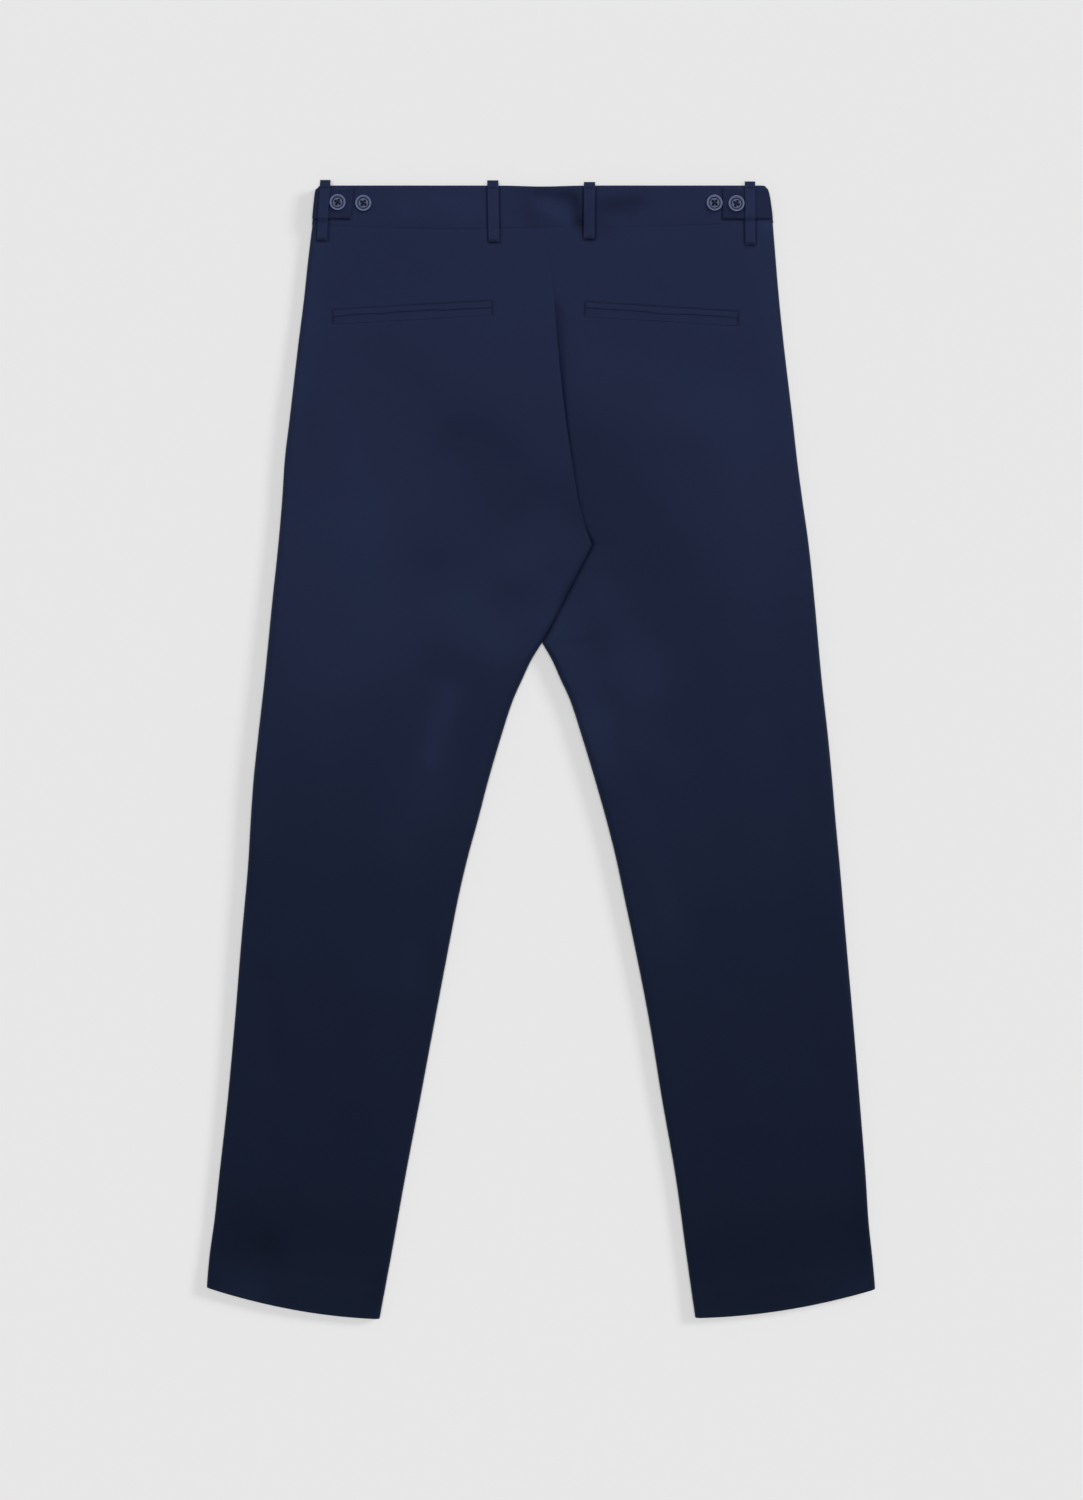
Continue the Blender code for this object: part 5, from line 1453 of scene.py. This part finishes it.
class TROUSERS_OT_tabs(bpy.types.Operator):
    """Make the two adjuster tabs on the waistband."""

    bl_idname = "trousers.tabs"
    bl_label = "Adjuster tabs"

    def execute(self, context):
        surface = surface_of("waistband_back")
        for row in TABS:
            tab = make_tab(row, surface, context.scene.trouser_sizes)
            lay(tab, row.name, [piece("waistband_back")])
        return {"FINISHED"}


class TROUSERS_OT_loops(bpy.types.Operator):
    """Make the belt loops, over the tabs and the waistband."""

    bl_idname = "trousers.loops"
    bl_label = "Belt loops"

    def execute(self, context):
        sizes = context.scene.trouser_sizes
        sides = both_sides()
        surface = surface_of("back_left", "back_right", "waistband_back", *(row.name for row in TABS))
        for row in BELT_LOOPS:
            lay(make_loop(row, surface, sides, sizes), row.name, [piece("waistband_back")])
        for side in sides:
            name = "belt_loop_front_" + side.name
            lay(make_front_loop(side, sides, sizes), name, ["floor"])
        return {"FINISHED"}


class TROUSERS_OT_pockets(bpy.types.Operator):
    """Make the folded strips of the two back pockets."""

    bl_idname = "trousers.pockets"
    bl_label = "Back pockets"

    def execute(self, context):
        for row in POCKETS:
            seat = "back_" + row.side
            surface = surface_of(seat)
            for above, end in ((True, "_upper_jet"), (False, "_lower_jet")):
                lay(make_jet(row, surface, above), row.name + end, [piece(seat)])
        return {"FINISHED"}


class TROUSERS_OT_buttons(bpy.types.Operator):
    """Model a button, copy it to its four places and sew each on."""

    bl_idname = "trousers.buttons"
    bl_label = "Buttons"

    def execute(self, context):
        band = surface_of("waistband_back")
        tabs = surface_of(*(row.name for row in TABS))
        blank = model_button()
        for row in BUTTONS:
            place = button_place(row, band, tabs)
            only(blank)
            bpy.ops.object.duplicate()
            button = context.object
            button.name = row.name + "_resin"
            button.data.name = button.name
            button.matrix_world = place
            apply_place()
            settle(button, row.name, "resin")
            thread_cross(row.name.replace("button", "button_thread"), place)
        bpy.data.objects.remove(blank, do_unlink=True)
        return {"FINISHED"}


class TROUSERS_OT_sewing(bpy.types.Operator):
    """Sew the tabs' edges, the belt loops' tacks and the pockets' ends."""

    bl_idname = "trousers.sewing"
    bl_label = "Sewing"

    def execute(self, context):
        runs = []
        for row in TABS:
            inward = INWARD[row.side]
            start = row.end_top - inward * 14
            end_top, end_low = row.end_top - inward * STITCH_IN, row.end_low - inward * STITCH_IN
            top, low = row.top_y - STITCH_IN, row.low_y + STITCH_IN
            runs.append(([(start, top), (end_top, top), (end_low, low), (start, low)], 2.7, 0.0))
        sew("tab_stitches", runs, surface_of(*(row.name for row in TABS)))
        runs = []
        for row in BELT_LOOPS:
            for y in (row.low_y + STITCH_IN, BAND_TOP - 2.6):
                centre = at_y(row, y, row.top_x, row.low_x)
                runs.append(([(centre - 3.6, y), (centre + 3.6, y)], 0.62, math.radians(74)))
        sew("belt_loop_tacks", runs, surface_of(*(row.name for row in BELT_LOOPS)))
        for row in POCKETS:
            runs = []
            for x, y, out in ((row.outer_x, row.outer_y, -0.9), (row.inner_x, row.inner_y, 0.9)):
                x = x + out * INWARD[row.side]
                runs.append(([(x, y + JET_DEEP + 0.4), (x, y - JET_DEEP - 0.4)], 0.75, math.radians(68)))
            sew(row.name + "_tacks", runs, surface_of("back_" + row.side))
        return {"FINISHED"}


class TROUSERS_OT_closure(bpy.types.Operator):
    """Make the zip's tapes and teeth, and finish its slider, the hook and the bar."""

    bl_idname = "trousers.closure"
    bl_label = "Zip, hook and bar"

    def execute(self, context):
        tape, teeth = make_zip()
        settle(tape, "fly_zip", "tape")
        piece("front_left")
        piece("front_right")
        settle(teeth, None, "nickel")
        for name in ("zip_slider", "waist_hook", "waist_bar"):
            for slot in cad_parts[name].material_slots:
                slot.material = material("nickel")
        return {"FINISHED"}


def toward(turn, rise):
    """The direction that a light shines from, by its turn from +X and its height over the floor."""
    return math.cos(rise) * math.cos(turn), math.cos(rise) * math.sin(turn), math.sin(rise)


def kept_to(name, things):
    """A collection of the only things that a light shines on."""
    collection = bpy.data.collections.new(name)
    for thing in things:
        collection.objects.link(thing)
    return collection


def add_light(context, name, strength, source, shines_on, place=None, **settings):
    """Add a light that shines from one side: a sun, or a softbox where it has a place."""
    data = bpy.data.lights.new(name, "AREA" if place else "SUN")
    data.energy = strength
    for setting, value in settings.items():
        setattr(data, setting, value)
    light = bpy.data.objects.new(name, data)
    light.rotation_euler = Vector(source).to_track_quat("Z", "Y").to_euler()
    light.light_linking.receiver_collection = shines_on
    if place:
        light.location = place
        light.visible_camera = False
    context.collection.objects.link(light)


class TROUSERS_OT_stage(bpy.types.Operator):
    """Lay the floor, and set the lights and the camera."""

    bl_idname = "trousers.stage"
    bl_label = "Stage"

    def execute(self, context):
        stage = context.scene.trouser_stage
        deselect()
        bpy.ops.mesh.primitive_plane_add(size=stage.floor_wide, location=(0, 0, -0.0002))
        floor = context.object
        floor.name = "floor"
        apply_place()
        floor.data.materials.append(material("floor"))
        floor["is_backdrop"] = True
        garment = kept_to("garment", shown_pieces())
        paper = kept_to("paper", [floor])
        up = (0.0, 0.0, 1.0)
        add_light(context, "shadow_light", stage.key, toward(stage.key_turn, stage.key_rise), paper,
                  angle=stage.key_soft)
        add_light(context, "floor_light", stage.floor_light, up, paper, angle=math.radians(30))
        add_light(context, "garment_light", stage.front_light, toward(stage.front_turn, stage.front_rise),
                  garment, angle=math.radians(26))
        add_light(context, "seat_light", stage.seat_light, (0.02, 0.25, 0.75), garment, (0.06, 0.62, 0.75),
                  shape="RECTANGLE", size=1.4, size_y=0.4)
        add_light(context, "overhead_light", stage.dome_light, up, garment, (0.0, 0.0, 2.0), size=3.0)
        world = bpy.data.worlds.new("studio")
        world.use_nodes = True
        sky = world.node_tree.nodes["Background"].inputs
        sky["Color"].default_value = (1.0, 1.0, 1.0, 1.0)
        sky["Strength"].default_value = stage.ambient
        context.scene.world = world
        context.scene.view_settings.view_transform = "Standard"
        lens = bpy.data.cameras.new("camera")
        lens.lens = stage.lens
        lens.sensor_width = 36.0
        lens.clip_end = 100.0
        camera = bpy.data.objects.new("camera", lens)
        camera.location = (stage.camera_aside, 0.0, stage.camera_high)
        context.collection.objects.link(camera)
        context.scene.camera = camera
        return {"FINISHED"}


STEPS = (TROUSERS_OT_legs, TROUSERS_OT_waistband, TROUSERS_OT_tabs, TROUSERS_OT_loops, TROUSERS_OT_pockets,
         TROUSERS_OT_buttons, TROUSERS_OT_sewing, TROUSERS_OT_closure, TROUSERS_OT_stage)


class TROUSERS_PT_panel(bpy.types.Panel):
    """Sizes, colours and steps of the trousers."""

    bl_idname = "TROUSERS_PT_panel"
    bl_label = "Trousers"
    bl_space_type = "VIEW_3D"
    bl_region_type = "UI"
    bl_category = "Trousers"

    def draw(self, context):
        scene = context.scene
        for group in (scene.trouser_sizes, scene.trouser_colours, scene.trouser_stage):
            box = self.layout.box()
            for name in group.__annotations__:
                box.prop(group, name)
        for step in STEPS:
            self.layout.operator(step.bl_idname)


GROUPS = {"trouser_sizes": TrouserSizes, "trouser_colours": TrouserColours, "trouser_stage": TrouserStage}


def register():
    """Register the groups, steps and panel."""
    for name, group in GROUPS.items():
        bpy.utils.register_class(group)
        setattr(bpy.types.Scene, name, PointerProperty(type=group))
    for step in STEPS + (TROUSERS_PT_panel,):
        bpy.utils.register_class(step)


def unregister():
    """Unregister them in the other order."""
    for step in (TROUSERS_PT_panel,) + tuple(reversed(STEPS)):
        bpy.utils.unregister_class(step)
    for name, group in reversed(list(GROUPS.items())):
        delattr(bpy.types.Scene, name)
        bpy.utils.unregister_class(group)


def main():
    """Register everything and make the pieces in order."""
    register()
    for step in STEPS:
        group, name = step.bl_idname.split(".")
        getattr(getattr(bpy.ops, group), name)()


if __name__ == "__main__":
    main()
